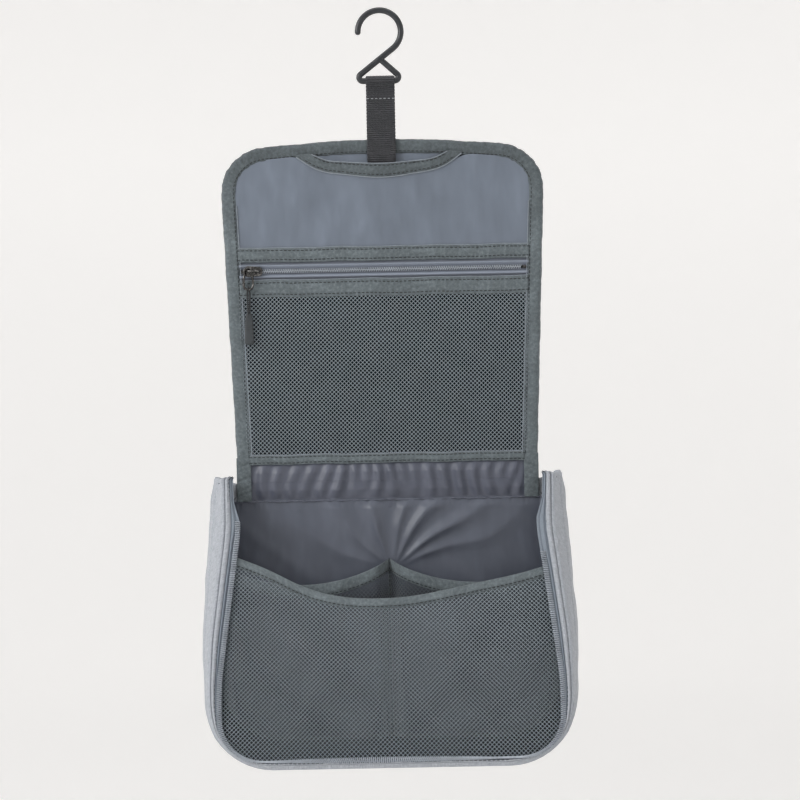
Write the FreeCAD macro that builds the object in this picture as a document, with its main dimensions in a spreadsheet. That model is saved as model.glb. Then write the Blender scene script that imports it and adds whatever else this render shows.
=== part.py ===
import FreeCAD, Part
import math
import os
import Sketcher

# A hanging toiletry bag, open: a wire hook, a webbing strap, a flat lid with a zipped mesh
# pocket, a gathered strip of lining that the lid folds on, and a wedge-shaped pouch.
# Millimetres. The origin is where the hook hangs, inside the top of its curl.
# +X is to the right of the open bag, +Y towards the wall that it hangs on, +Z up.

V = FreeCAD.Vector

SIZES = [
    # the hook
    ("wire_radius", 2.1, "hook wire"),
    ("curl_radius", 15.0, "centreline of the curl"),
    ("curl_sweep", 232.0, "degrees of curl, from its free end"),
    ("bar_drop", 47.2, "origin down to the bar that carries the strap"),
    ("eye_corner", 2.6, "bends at the ends of the bar"),
    ("eye_right", 17.0, "where the right side of the eye would meet the bar"),
    # the strap
    ("webbing", 1.1, "thickness of the webbing"),
    ("strap_width", 20.0, "webbing width"),
    ("loop_radius", 2.4, "inside of the loop round the bar"),
    ("strap_end", 103.1, "origin down to the strap's fold"),
    ("fold_gap", 0.6, "gap between the strap's two parts at its fold"),
    ("sewn_length", 16.0, "strap's end inside the lid"),
    ("stitch_down", 59.7, "origin down to the stitches that close the strap's loop"),
    ("stitch_half", 8.0, "half length of that row of stitches"),
    ("stitch_half_width", 0.5, "half width of that row"),
    ("stitch_rise", 0.3, "how far the row stands off the strap"),
    # the lid, seen from the front
    ("lid_top", 94.0, "origin down to the lid's upper corners"),
    ("lid_arch", 7.7, "rise of its top edge at the middle"),
    ("lid_half_top", 114.0, "half width at the upper corners"),
    ("lid_half_low", 105.0, "half width at the hinge"),
    ("lid_corner", 32.0, "radius of the upper corners"),
    ("lid_low", 314.0, "origin down to the lid's hinge edge"),
    ("binding", 10.0, "width of the lid's binding"),
    # layers, by their distance behind the hook's plane
    ("lining_front", 2.6, "front of the lining"),
    ("lining", 0.5, "thickness of the lining"),
    ("foam", 3.0, "thickness of the foam"),
    ("shell", 1.2, "thickness of the shell fabric"),
    ("tape", 0.6, "thickness of zip tape and net"),
    ("satin", 0.5, "thickness of the strap pocket's panel"),
    ("band", 1.0, "thickness of the bands across the lid"),
    # the strap's pocket
    ("panel_gap", 0.3, "strap's front to the panel behind the crescent"),
    ("panel_shoulder", 60.0, "middle to where the panel's top starts to dip"),
    ("panel_shoulder_rise", 3.5, "how far the shoulder is above the panel's corners"),
    ("panel_corner", 22.0, "radius of the panel's upper corners"),
    ("panel_dip", 106.0, "origin down to the lowest point of the panel's top"),
    ("crescent", 0.7, "thickness of the crescent"),
    ("crescent_half", 60.0, "middle to the crescent's tips"),
    ("crescent_tip", 97.6, "origin down to its tips"),
    ("crescent_top", 105.5, "origin down to the point that its upper edge turns about"),
    ("crescent_low", 117.0, "the same for its lower edge"),
    ("crescent_waist", 45.0, "middle to the turn beside a tip"),
    ("crescent_waist_down", 104.5, "origin down to that turn"),
    # rows of the lid
    ("panel_low", 162.6, "origin down to the pocket's upper band"),
    ("zip_top", 172.4, "origin down to the pocket's zip"),
    ("zip_low", 185.0, "origin down to the pocket's lower band"),
    ("mesh_top", 197.0, "origin down to the lid's net"),
    ("mesh_low", 307.5, "origin down to the band under the net"),
    # the fold
    ("strip_low", 338.3, "origin down to the strip's lower edge"),
    ("hinge_gap", 0.3, "gap above and below the strip"),
    ("gathers", 3.0, "depth of the strip's gathered lining"),
    ("strip_binding", 8.0, "width of the strip's side bindings"),
    # the pouch
    ("rim_top", 326.0, "origin down to the top of the pouch's sides"),
    ("pouch_low", 508.5, "origin down to the bottom"),
    ("rim_front", 14.0, "how far the rim's top is in front of the hook's plane"),
    ("toe_front", 96.0, "how far the rim's bottom is in front of it"),
    ("side_top", 120.5, "half width at the rim's top"),
    ("side_mid", 126.5, "half width where the sides bulge most"),
    ("side_low", 121.5, "half width at the lower corners"),
    ("bulge_down", 104.0, "rim's top down to the bulge"),
    ("pouch_corner", 38.0, "radius of the lower corners"),
    ("gusset_foam", 2.5, "foam in the sides and bottom"),
    ("mouth_top", 105.0, "half width between the teeth at the top"),
    ("mouth_low", 111.5, "half width between the teeth at the bottom"),
    ("mouth_corner", 30.0, "radius of the teeth at the lower corners"),
    ("rim_toe", 6.0, "width of the rim along the bottom"),
    ("front_net_drop", 64.0, "rim's top down to the front net's right end"),
    ("front_net_behind", 1.0, "rim's plane back to the front net"),
    ("front_net_binding", 7.0, "width of the front net's binding"),
    ("thick_binding", 1.2, "thickness of the nets' bindings"),
    ("pocket_depth", 15.0, "how far the inner pockets stand off the lining"),
    ("pocket_binding", 9.0, "width of the inner pockets' binding"),
    ("pocket_net", 0.8, "thickness of the inner pockets' net"),
    ("pocket_peak", 381.0, "origin down to the top of the seam between the pockets"),
    ("pocket_seam", 0.5, "half the gap between the pockets at that seam"),
    ("pocket_flare", 8.0, "middle to where a pocket has its full depth"),
    ("pocket_reach", 119.0, "middle to a pocket's outer end"),
    ("pocket_turn", 11.0, "a pocket's outer end back to its full depth"),
    # zips
    ("coil", 2.0, "width of the pocket zip's coil"),
    ("coil_depth", 1.2, "depth of the pocket zip's coil"),
    ("zip_half", 99.5, "half length of the pocket's zip"),
    ("stop", 2.5, "length of an end stop"),
    ("stop_depth", 1.6, "depth of an end stop"),
    ("main_coil_inset", 1.2, "lid's edge in to the main zip's coil"),
    ("main_tape_inset", 3.7, "lid's edge in to the main zip's tape"),
    ("main_step_inset", 6.4, "lid's edge in to the tape's step down to the binding"),
    ("main_sewn_inset", 7.2, "lid's edge in to the sewn part of the tape"),
    ("main_tape_end", 13.0, "lid's edge in to the tape's other edge"),
    ("main_tape", 0.8, "thickness of the main zip's tape"),
    ("main_tape_rise", 2.9, "lid's binding back to the raised tape's rear"),
    ("main_coil", 2.2, "depth of the main zip's coil"),
    ("main_coil_rise", 3.6, "lid's binding back to the coil's rear"),
    # the pocket's slider and what hangs from it
    ("slider_at", 91.0, "pocket slider's distance left of the middle"),
    ("slider_half", 5.5, "half length of the slider"),
    ("slider_wide", 3.6, "half width at its open end"),
    ("slider_narrow", 2.6, "half width at its closed end"),
    ("slider_plate", 1.2, "thickness of its plate"),
    ("slider_back", 1.0, "hook's plane back to the plate's rear"),
    ("flange_in", 1.4, "middle of the zip to a flange's near side"),
    ("flange_out", 2.2, "middle of the zip to a flange's far side"),
    ("flange_rise", 0.6, "how far the flanges reach behind the plate"),
    ("crown_half", 4.3, "half length of the slider's crown"),
    ("crown_rise", 3.5, "hook's plane forward to the top of the crown"),
    ("crown_post", 1.3, "thickness of the crown's posts"),
    ("crown_top", 1.1, "thickness of the crown's top"),
    ("crown_width", 1.6, "width of a crown"),
    ("puller_pivot", 1.3, "hook's plane forward to the puller's pivot"),
    ("puller", 0.9, "thickness of the puller"),
    ("puller_ring", 2.7, "radius of the puller's ring"),
    ("puller_eye", 1.5, "radius of the eye in the ring"),
    ("puller_neck", 2.2, "half width of the puller beside its ring"),
    ("puller_half", 2.9, "half width of the puller's end"),
    ("puller_length", 13.0, "pivot down to the puller's end"),
    ("slot_half", 1.4, "half width of the puller's slot"),
    ("slot_top", 5.0, "pivot down to the slot"),
    ("slot_low", 11.6, "pivot down to the slot's end"),
    ("cord", 1.1, "thickness of the pull's cord"),
    ("cord_half", 2.2, "half depth of the cord's loop"),
    ("cord_length", 9.0, "pivot down to the cord's end inside the tab"),
    ("cord_pivot", 12.3, "puller's pivot down to the cord's pivot"),
    ("cord_front", 1.25, "hook's plane forward to the cord's pivot"),
    ("tab_top", 2.4, "half width of the tab's top"),
    ("tab_half", 2.9, "half width of the tab's end"),
    ("tab_low", 36.0, "cord's pivot down to the tab's end"),
    ("tab", 2.8, "thickness of the tab"),
    # the main sliders
    ("main_slider_at", 300.0, "origin down to the main sliders"),
    ("main_slider_inset", 2.45, "lid's edge in to the main sliders' middle"),
    ("clip_outer", 3.2, "slider's middle out to the clip's open side"),
    ("clip_inner", 2.2, "slider's middle in to the clip's closed side"),
    ("clip_gap", 0.2, "lid's binding back to the clip"),
    ("clip_depth", 4.8, "depth of the clip"),
    ("clip_wall", 0.9, "thickness of the clip's front and rear"),
    ("clip_web", 0.65, "thickness of the clip's closed side"),
    ("clip_length", 11.0, "length of a main slider"),
    ("main_crown_half", 4.2, "half length of a main slider's crown"),
    ("main_crown_rise", 3.0, "how far the crown stands off the clip"),
    ("main_crown_post", 1.2, "thickness of that crown's posts"),
    ("main_crown_top", 1.0, "thickness of that crown's top"),
    ("main_crown_off", 0.5, "slider's middle in to the crown's middle"),
    ("main_puller", 1.0, "thickness of a main puller"),
    ("main_puller_top", 3.4, "half width of its top"),
    ("main_puller_half", 3.0, "half width of its end"),
    ("main_puller_over", 0.6, "pivot up to the puller's top"),
    ("main_puller_length", 24.0, "pivot down to the puller's end"),
    ("window_half", 1.6, "half width of its window"),
    ("window_top", 0.6, "pivot down to the window"),
    ("window_low", 7.0, "pivot down to the window's end"),
    ("main_pivot_rise", 6.1, "lid's binding back to a main puller's pivot"),
    ("main_pivot_drop", 1.9, "main slider's middle down to that pivot"),
]

# The top edge of the front net in the rim's plane: across, above its right end, and radius.
FRONT_EDGE = [(120, 4, 0), (60, -8, 130), (-20, -28, 150), (-72, -10, 120), (-120, 12, 0)]
# The top edge of an inner pocket: out from the middle seam, below the seam's top, and radius.
POCKET_EDGE = [(0, 0, 0), (54, 26, 120), (125, 0, 0)]
# How far a cut reaches past what it cuts.
CLEAR = 20


class Size:
    """A length that carries its spreadsheet expression beside its number."""

    def __init__(self, number, text):
        self.number = number
        self.text = text

    def __add__(self, other):
        other = sized(other)
        return Size(self.number + other.number, f"({self.text} + {other.text})")

    def __sub__(self, other):
        other = sized(other)
        return Size(self.number - other.number, f"({self.text} - {other.text})")

    def __mul__(self, other):
        other = sized(other)
        return Size(self.number * other.number, f"({self.text} * {other.text})")

    def __truediv__(self, other):
        other = sized(other)
        return Size(self.number / other.number, f"({self.text} / {other.text})")

    def __neg__(self):
        return Size(-self.number, f"(0 - {self.text})")

    __radd__ = __add__
    __rmul__ = __mul__

    def __rsub__(self, other):
        return sized(other) - self


def sized(value):
    if isinstance(value, Size):
        return value
    return Size(float(value), f"({value:.6f})")


def blend(start, end, share):
    return start * (1 - share) + end * share


doc = FreeCAD.newDocument("hanging_toiletry_bag")
sheet = doc.addObject("Spreadsheet::Sheet", "Sizes")
given = {}
for row, (alias, number, meaning) in enumerate(SIZES, 1):
    sheet.set(f"A{row}", meaning)
    sheet.set(f"B{row}", str(number))
    sheet.setAlias(f"B{row}", alias)
    given[alias] = Size(number, f"Sizes.{alias}")
doc.recompute()
pieces = []


def bind(thing, path, size):
    thing.setExpression(path, sized(size).text)


def new_body(label):
    body = doc.addObject("PartDesign::Body", label)
    body.Label = label
    pieces.append(body)
    return body


def new_sketch(body, name, plane, offset):
    """A sketch on one of the body's own planes, moved along that plane's normal."""
    sketch = body.newObject("Sketcher::SketchObject", name)
    for feature in body.Origin.OriginFeatures:
        if feature.Role == plane:
            sketch.AttachmentSupport = (feature, [""])
    sketch.MapMode = "FlatFace"
    bind(sketch, "AttachmentOffset.Base.z", offset)
    return sketch


def pin(sketch, geometry, point, place):
    """Fixes one end of a line or an arc at a place worked out from the spreadsheet."""
    for kind, size in zip(("DistanceX", "DistanceY"), place):
        constraint = sketch.addConstraint(
            Sketcher.Constraint(kind, -1, 1, geometry, point, size.number)
        )
        bind(sketch, f"Constraints[{constraint}]", size)


def rounded(corner, before, after, radius):
    """Where the arc at a corner starts and ends, its centre, and whether it turns left."""
    here = V(corner[0].number, corner[1].number, 0)
    back = (V(before[0].number, before[1].number, 0) - here).normalize()
    on = (V(after[0].number, after[1].number, 0) - here).normalize()
    half = back.getAngle(on) / 2
    reach = radius / math.tan(half)
    start = [corner[n] + reach * back[n] for n in range(2)]
    end = [corner[n] + reach * on[n] for n in range(2)]
    centre = here + (back + on).normalize() * (radius.number / math.sin(half))
    return start, end, centre, (on.cross(back)).z > 0


def draw(sketch, corners):
    """Draws a closed outline through corners of (x, y, radius). A radius of 0 is sharp."""
    corners = [tuple(sized(value) for value in corner) for corner in corners]
    count = len(corners)
    joins = []
    for n, (x, y, radius) in enumerate(corners):
        if radius.number:
            found = rounded((x, y), corners[n - 1], corners[(n + 1) % count], radius)
            joins.append((*found, radius))
        else:
            joins.append(([x, y], [x, y], None, None, None))
    for n, (_, start, *_) in enumerate(joins):
        end = joins[(n + 1) % count][0]
        ends = [V(place[0].number, place[1].number, 0) for place in (start, end)]
        line = sketch.addGeometry(Part.LineSegment(*ends), False)
        pin(sketch, line, 1, start)
        pin(sketch, line, 2, end)
    for n, (start, end, centre, left, radius) in enumerate(joins):
        if radius is None:
            continue
        first, last = (start, end) if left else (end, start)
        angles = [
            math.atan2(place[1].number - centre.y, place[0].number - centre.x)
            for place in (first, last)
        ]
        circle = Part.Circle(centre, V(0, 0, 1), radius.number)
        arc = sketch.addGeometry(Part.ArcOfCircle(circle, *angles), False)
        before, after = (n - 1) % count, n
        at_first, at_last = (before, after) if left else (after, before)
        ends = ((at_first, 2), (at_last, 1)) if left else ((at_first, 1), (at_last, 2))
        for point, (line, line_point) in zip((1, 2), ends):
            sketch.addConstraint(
                Sketcher.Constraint("Coincident", arc, point, line, line_point)
            )
        constraint = sketch.addConstraint(
            Sketcher.Constraint("Radius", arc, radius.number)
        )
        bind(sketch, f"Constraints[{constraint}]", radius)


def circle(sketch, radius, across=0, up=0):
    radius, across, up = sized(radius), sized(across), sized(up)
    centre = V(across.number, up.number, 0)
    ring = sketch.addGeometry(Part.Circle(centre, V(0, 0, 1), radius.number), False)
    constraint = sketch.addConstraint(Sketcher.Constraint("Radius", ring, radius.number))
    bind(sketch, f"Constraints[{constraint}]", radius)
    pin(sketch, ring, 3, (across, up))


def pad(body, name, outline, start, depth, plane="XZ_Plane", both=False):
    """Adds an outline's prism. On XZ_Plane it starts at y = start and goes to -Y."""
    offset = -sized(start) if plane == "XZ_Plane" else start
    sketch = new_sketch(body, f"{name}_outline", plane, offset)
    if callable(outline):
        outline(sketch)
    else:
        draw(sketch, outline)
    feature = body.newObject("PartDesign::Pad", name)
    feature.Profile = sketch
    feature.SideType = "Symmetric" if both else "One side"
    bind(feature, "Length", depth)
    doc.recompute()
    return feature


def pocket(body, name, outline, plane="XZ_Plane"):
    """Cuts an outline right through the body, both ways from its plane."""
    volume = body.Shape.Volume
    sketch = new_sketch(body, f"{name}_outline", plane, 0)
    if callable(outline):
        outline(sketch)
    else:
        draw(sketch, outline)
    feature = body.newObject("PartDesign::Pocket", name)
    feature.Profile = sketch
    feature.SideType = "Symmetric"
    feature.Type = "ThroughAll"
    doc.recompute()
    if body.Shape.Volume > volume - 0.01:
        raise ValueError(f"{body.Label}: {name} cuts nothing")
    return feature


def slab(label, outline, back, thickness):
    """A flat piece whose rear face is at y = back."""
    body = new_body(label)
    pad(body, label + "_pad", outline, back, thickness)
    return body


def box(label, low, high):
    """A plain block between two corners."""
    low = [sized(value) for value in low]
    high = [sized(value) for value in high]
    block = doc.addObject("Part::Box", label)
    block.Label = label
    for side, start, end in zip(("Length", "Width", "Height"), low, high):
        bind(block, side, end - start)
    for axis, start in zip("xyz", low):
        bind(block, f"Placement.Base.{axis}", start)
    return block


def group(label, links):
    """Identical small solids that share one node."""
    compound = doc.addObject("Part::Compound", label)
    compound.Label = label
    compound.Links = links
    pieces.append(compound)
    return compound


# ---------------------------------------------------------------- the hook

def bend_of_wire(name, centre, radius, first, sweep):
    """A bend in the hook's plane, from one angle on by a sweep, seen from the front."""
    torus = doc.addObject("Part::Torus", name)
    bind(torus, "Radius1", radius)
    bind(torus, "Radius2", given["wire_radius"])
    torus.Angle3 = sweep
    upright = FreeCAD.Rotation(V(1, 0, 0), 90)
    turned = FreeCAD.Rotation(V(0, -1, 0), first).multiply(upright)
    torus.Placement = FreeCAD.Placement(V(centre.x, 0, centre.y), turned)
    return torus


def run_of_wire(name, start, end):
    """A straight run in the hook's plane."""
    rod = doc.addObject("Part::Cylinder", name)
    bind(rod, "Radius", given["wire_radius"])
    rod.Height = (end - start).Length
    along = V(end.x - start.x, 0, end.y - start.y)
    turned = FreeCAD.Rotation(V(0, 0, 1), along)
    rod.Placement = FreeCAD.Placement(V(start.x, 0, start.y), turned)
    return rod


def bend_between(name, corner, before, after, radius):
    """The bend at a corner of the eye, and the points where it meets its two runs."""
    start, end, centre, _ = rounded(
        *[(sized(point.x), sized(point.y)) for point in (corner, before, after)], radius
    )
    start, end = (V(place[0].number, place[1].number, 0) for place in (start, end))
    first, last = (
        math.degrees(math.atan2(place.y - centre.y, place.x - centre.x)) for place in (start, end)
    )
    return bend_of_wire(name, centre, radius, first, (last - first) % 360), start, end


def make_hook():
    radius, wire = given["curl_radius"], given["wire_radius"]
    drop, bend = given["bar_drop"], given["eye_corner"]
    centre = V(0, -(radius - wire).number, 0)
    sweep = given["curl_sweep"].number
    last = math.radians(180 - sweep)
    curl_end = centre + V(math.cos(last), math.sin(last), 0) * radius.number
    down = V(math.sin(last), -math.cos(last), 0)
    fall = (curl_end.y + drop.number) / -down.y
    left = curl_end + down * fall
    right = V(given["eye_right"].number, -drop.number, 0)
    # the right side of the eye leans so that it ends inside the long diagonal
    meet = curl_end + down * (0.32 * fall)
    curl = bend_of_wire("curl", centre, radius, 180 - sweep, sweep)
    left_bend, left_in, left_out = bend_between("left_bend", left, curl_end, right, bend)
    right_bend, right_in, right_out = bend_between("right_bend", right, left, meet, bend)
    tip = doc.addObject("Part::Sphere", "rounded_end")
    bind(tip, "Radius", wire)
    bind(tip, "Placement.Base.x", -radius)
    bind(tip, "Placement.Base.z", -(radius - wire))
    hook = doc.addObject("Part::MultiFuse", "hook")
    hook.Label = "hook"
    hook.Shapes = [
        curl,
        run_of_wire("diagonal", curl_end, left_in),
        left_bend,
        run_of_wire("bar", left_out, right_in),
        right_bend,
        run_of_wire("eye_side", right_out, meet),
        tip,
    ]
    pieces.append(hook)
    doc.recompute()


# ---------------------------------------------------------------- the strap

def make_strap():
    webbing, width = given["webbing"], given["strap_width"]
    bar, inside = given["bar_drop"], given["loop_radius"]
    outside = inside + webbing
    body = new_body("hanging_strap")
    pad(body, "loop", lambda sketch: circle(sketch, outside, 0, -bar), 0, width, "YZ_Plane", True)
    leg = rectangle(-webbing, webbing, -given["strap_end"], -bar - inside)
    pad(body, "leg", leg, 0, width, "YZ_Plane", True)
    pocket(body, "eye", lambda sketch: circle(sketch, inside, 0, -bar), "YZ_Plane")
    # the row of stitches that closes the loop, and the end that is sewn inside the lid
    across, up = given["stitch_half"], given["stitch_half_width"]
    row = -given["stitch_down"]
    stitch = box(
        "stitch_row",
        (-across, -webbing - given["stitch_rise"], row - up),
        (across, -webbing, row + up),
    )
    group("strap_stitching", [stitch])
    end_top = -given["strap_end"] - given["fold_gap"]
    tail = box(
        "tail_block",
        (-width / 2, -webbing, end_top - given["sewn_length"]),
        (width / 2, webbing, end_top),
    )
    group("strap_sewn_end", [tail])


def rectangle(left, right, low, high):
    return [(left, low, 0), (right, low, 0), (right, high, 0), (left, high, 0)]


# ---------------------------------------------------------------- the lid

def lid_half(down, inset=0):
    """Half the lid's width at a distance below the origin."""
    share = (down - given["lid_top"]) / (given["lid_low"] - given["lid_top"])
    half_top, half_low = given["lid_half_top"], given["lid_half_low"]
    return half_top + (half_low - half_top) * share - inset


def lid_outline(inset, low):
    """The lid's outline, drawn in by an inset, and cut straight at a distance down."""
    top = -given["lid_top"] - inset
    half = lid_half(given["lid_top"], inset)
    corner = given["lid_corner"] - inset
    arch = given["lid_arch"]
    return [
        (-lid_half(low, inset), -low, 0),
        (-half, top, corner),
        (0, top + arch * 1.1, 700),
        (half, top, corner),
        (lid_half(low, inset), -low, 0),
    ]


def lid_ring(outer, inner, low):
    """A border that runs up one side of the lid, over its top and down the other."""
    return lid_outline(outer, low) + lid_outline(inner, low)[::-1]


def lid_row(label, top, low, back, thickness):
    """A straight row of the lid between two distances down."""
    inset = given["binding"]
    outline = [
        (-lid_half(low, inset), -low, 0),
        (-lid_half(top, inset), -top, 0),
        (lid_half(top, inset), -top, 0),
        (lid_half(low, inset), -low, 0),
    ]
    return slab(label, outline, back, thickness)


def make_lid():
    front, lining = given["lining_front"], given["lining"]
    foam, shell, tape = given["foam"], given["shell"], given["tape"]
    low, binding = given["lid_low"], given["binding"]
    foam_front = front + lining
    shell_front = foam_front + foam
    back = shell_front + shell
    slab("lid_lining", lid_outline(shell, low), foam_front, lining)
    slab("lid_foam", lid_outline(shell, low), shell_front, foam)
    slab("lid_shell", lid_outline(shell, low), back, shell)

    edge = new_body("lid_binding")
    pad(edge, "front_face", lid_ring(0, binding, low), front, shell)
    pad(edge, "rim", lid_ring(0, shell, low), back, back - front)
    pad(edge, "rear_face", lid_ring(0, binding, low), back + shell, shell)

    thickness = given["band"]
    lid_row("pocket_upper_band", given["panel_low"], given["zip_top"], front, thickness)
    lid_row("pocket_lower_band", given["zip_low"], given["mesh_top"], front, thickness)
    lid_row("lid_mesh", given["mesh_top"], given["mesh_low"], front - tape / 2, tape)
    lid_row("mesh_bottom_band", given["mesh_low"], low, front, thickness)


def make_strap_pocket():
    """A satin panel in front of the strap's end; its top dips under a crescent of binding."""
    panel_back = -given["webbing"] - given["panel_gap"]
    panel_low, shoulder = given["panel_low"], given["panel_shoulder"]
    inset = given["binding"] - given["lining"]
    top = -given["lid_top"] - inset
    half = lid_half(given["lid_top"], inset)
    shoulder_up = top + given["panel_shoulder_rise"]
    panel = [
        (-lid_half(panel_low, inset), -panel_low, 0),
        (-half, top, given["panel_corner"]),
        (-shoulder, shoulder_up, 30),
        (0, -given["panel_dip"], 140),
        (shoulder, shoulder_up, 30),
        (half, top, given["panel_corner"]),
        (lid_half(panel_low, inset), -panel_low, 0),
    ]
    slab("strap_pocket_panel", panel, panel_back, given["satin"])
    tip, waist = given["crescent_half"], given["crescent_waist"]
    crescent = [
        (-tip, -given["crescent_tip"], 0),
        (0, -given["crescent_top"], 140),
        (tip, -given["crescent_tip"], 0),
        (waist, -given["crescent_waist_down"], 30),
        (0, -given["crescent_low"], 60),
        (-waist, -given["crescent_waist_down"], 30),
    ]
    slab("crescent_binding", crescent, panel_back - given["satin"], given["crescent"])


def zip_middle():
    """The pocket zip's middle line, below the origin."""
    return (given["zip_top"] + given["zip_low"]) / 2


def make_pocket_zip():
    """The closed zip of the lid's net pocket: two tapes, the coil and a stop at each end."""
    middle, half_coil = zip_middle(), given["coil"] / 2
    reach, stop = given["zip_half"], given["stop"]
    back = given["lining_front"] - given["tape"] / 6
    tapes = []
    for name, low, high in (
        ("upper_tape", -middle + half_coil, -given["zip_top"]),
        ("lower_tape", -given["zip_low"], -middle - half_coil),
    ):
        tapes.append(box(name, (-reach, back - given["tape"], low), (reach, back, high)))
    group("pocket_zip_tapes", tapes)
    low, high = -middle - half_coil, -middle + half_coil
    front = back - given["coil_depth"]
    group("pocket_zip_coil", [box("coil_block", (-reach + stop, front, low), (reach - stop, back, high))])
    front = back - given["stop_depth"]
    stops = []
    for name, left in (("left_stop", -reach), ("right_stop", reach - stop)):
        stops.append(box(name, (left, front, low), (left + stop, back, high)))
    group("pocket_zip_stops", stops)


def lid_rear():
    """The rear of the lid's binding."""
    return given["lining_front"] + given["lining"] + given["foam"] + given["shell"] * 2


def make_lid_zip():
    """The lid's half of the main zip, sewn on its rear face with the coil at the edge."""
    rear = lid_rear()
    low = given["lid_low"] - given["coil"]
    thickness, rise = given["main_tape"], given["main_tape_rise"]
    raised, step, sewn = given["main_tape_inset"], given["main_step_inset"], given["main_sewn_inset"]
    tape = new_body("main_zip_tape_lid")
    pad(tape, "raised_edge", lid_ring(raised, step, low), rear + rise, thickness)
    pad(tape, "step", lid_ring(step, sewn, low), rear + rise, rise)
    pad(tape, "sewn_edge", lid_ring(sewn, given["main_tape_end"], low), rear + thickness, thickness)
    coil = lid_ring(given["main_coil_inset"], raised, low)
    slab("main_zip_coil_lid", coil, rear + given["main_coil_rise"], given["main_coil"])


# ---------------------------------------------------------------- sliders and pulls

def make_pocket_slider():
    """The pocket's slider lies along X, closed at the left end."""
    half, wide, narrow = given["slider_half"], given["slider_wide"], given["slider_narrow"]
    body = new_body("pocket_slider")
    plate = [(-half, -wide, 1.6), (half, -narrow, 1.6), (half, narrow, 1.6), (-half, wide, 1.6)]
    pad(body, "plate", plate, given["slider_back"], given["slider_plate"])
    near, far, rise = given["flange_in"], given["flange_out"], given["flange_rise"]
    for name, low, high in (("lower_flange", -far, -near), ("upper_flange", near, far)):
        flange = rectangle(-half + 1, half - 1, low, high)
        pad(body, name, flange, given["slider_back"] + rise, rise + 0.4)
    crown = bridge(given["crown_half"], -given["crown_rise"], given["crown_post"], -given["crown_top"])
    pad(body, "crown", crown, 0, given["crown_width"], "XY_Plane", True)
    bind(body, "Placement.Base.x", -given["slider_at"])
    bind(body, "Placement.Base.z", -zip_middle())


def bridge(half, rise, post, top):
    """A crown from the side: two posts and a top, standing on the sketch's X axis."""
    within = half - post
    return [
        (-half, 0, 0), (-half, rise, 1.0), (half, rise, 1.0), (half, 0, 0),
        (within, 0, 0), (within, rise - top, 0.6), (-within, rise - top, 0.6), (-within, 0, 0),
    ]


def make_pocket_pull():
    """The puller's ring turns about the crown's left post; a cord loop and a tab hang from it."""
    across = -given["slider_at"] - given["crown_half"] + given["crown_post"] / 2
    neck, end, length = given["puller_neck"], given["puller_half"], given["puller_length"]
    thickness = given["puller"]
    ring = new_body("pocket_puller")
    pad(ring, "ring", lambda sketch: circle(sketch, given["puller_ring"]), 0.5, thickness)
    plate = [(-neck, 0, 0), (neck, 0, 0), (end, -length, 1.6), (-end, -length, 1.6)]
    pad(ring, "plate", plate, 0.5, thickness)
    pocket(ring, "eye", lambda sketch: circle(sketch, given["puller_eye"]))
    slot, top, low = given["slot_half"], -given["slot_top"], -given["slot_low"]
    pocket(ring, "slot", [(-slot, top, 0.6), (-slot, low, 0.6), (slot, low, 0.6), (slot, top, 0.6)])
    bind(ring, "Placement.Base.x", across)
    bind(ring, "Placement.Base.y", -given["puller_pivot"])
    bind(ring, "Placement.Base.z", -zip_middle())

    # the cord's loop runs through the slot, and it turns with the tab about the slot's lower bar
    cord, half, end = given["cord"], given["cord_half"], -given["cord_length"]
    loop = new_body("pull_cord")
    outer = [(-half, end, 0), (half, end, 0), (half, half, 2.1), (-half, half, 2.1)]
    hole = half - cord
    inner = [(-hole, end + 1, 0), (hole, end + 1, 0), (hole, hole, 1.0), (-hole, hole, 1.0)]
    pad(loop, "loop", outer, 0, cord, "YZ_Plane", True)
    pocket(loop, "inside", inner, "YZ_Plane")
    tab = new_body("pull_tab")
    top, wide, low = given["tab_top"], given["tab_half"], -given["tab_low"]
    outline = [(-top, end, 1), (top, end, 1), (wide, low, 2.4), (-wide, low, 2.4)]
    pad(tab, "tab", outline, given["tab"] / 2, given["tab"])
    for body in (loop, tab):
        bind(body, "Placement.Base.x", across)
        bind(body, "Placement.Base.y", -given["cord_front"])
        bind(body, "Placement.Base.z", -zip_middle() - given["cord_pivot"])


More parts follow.
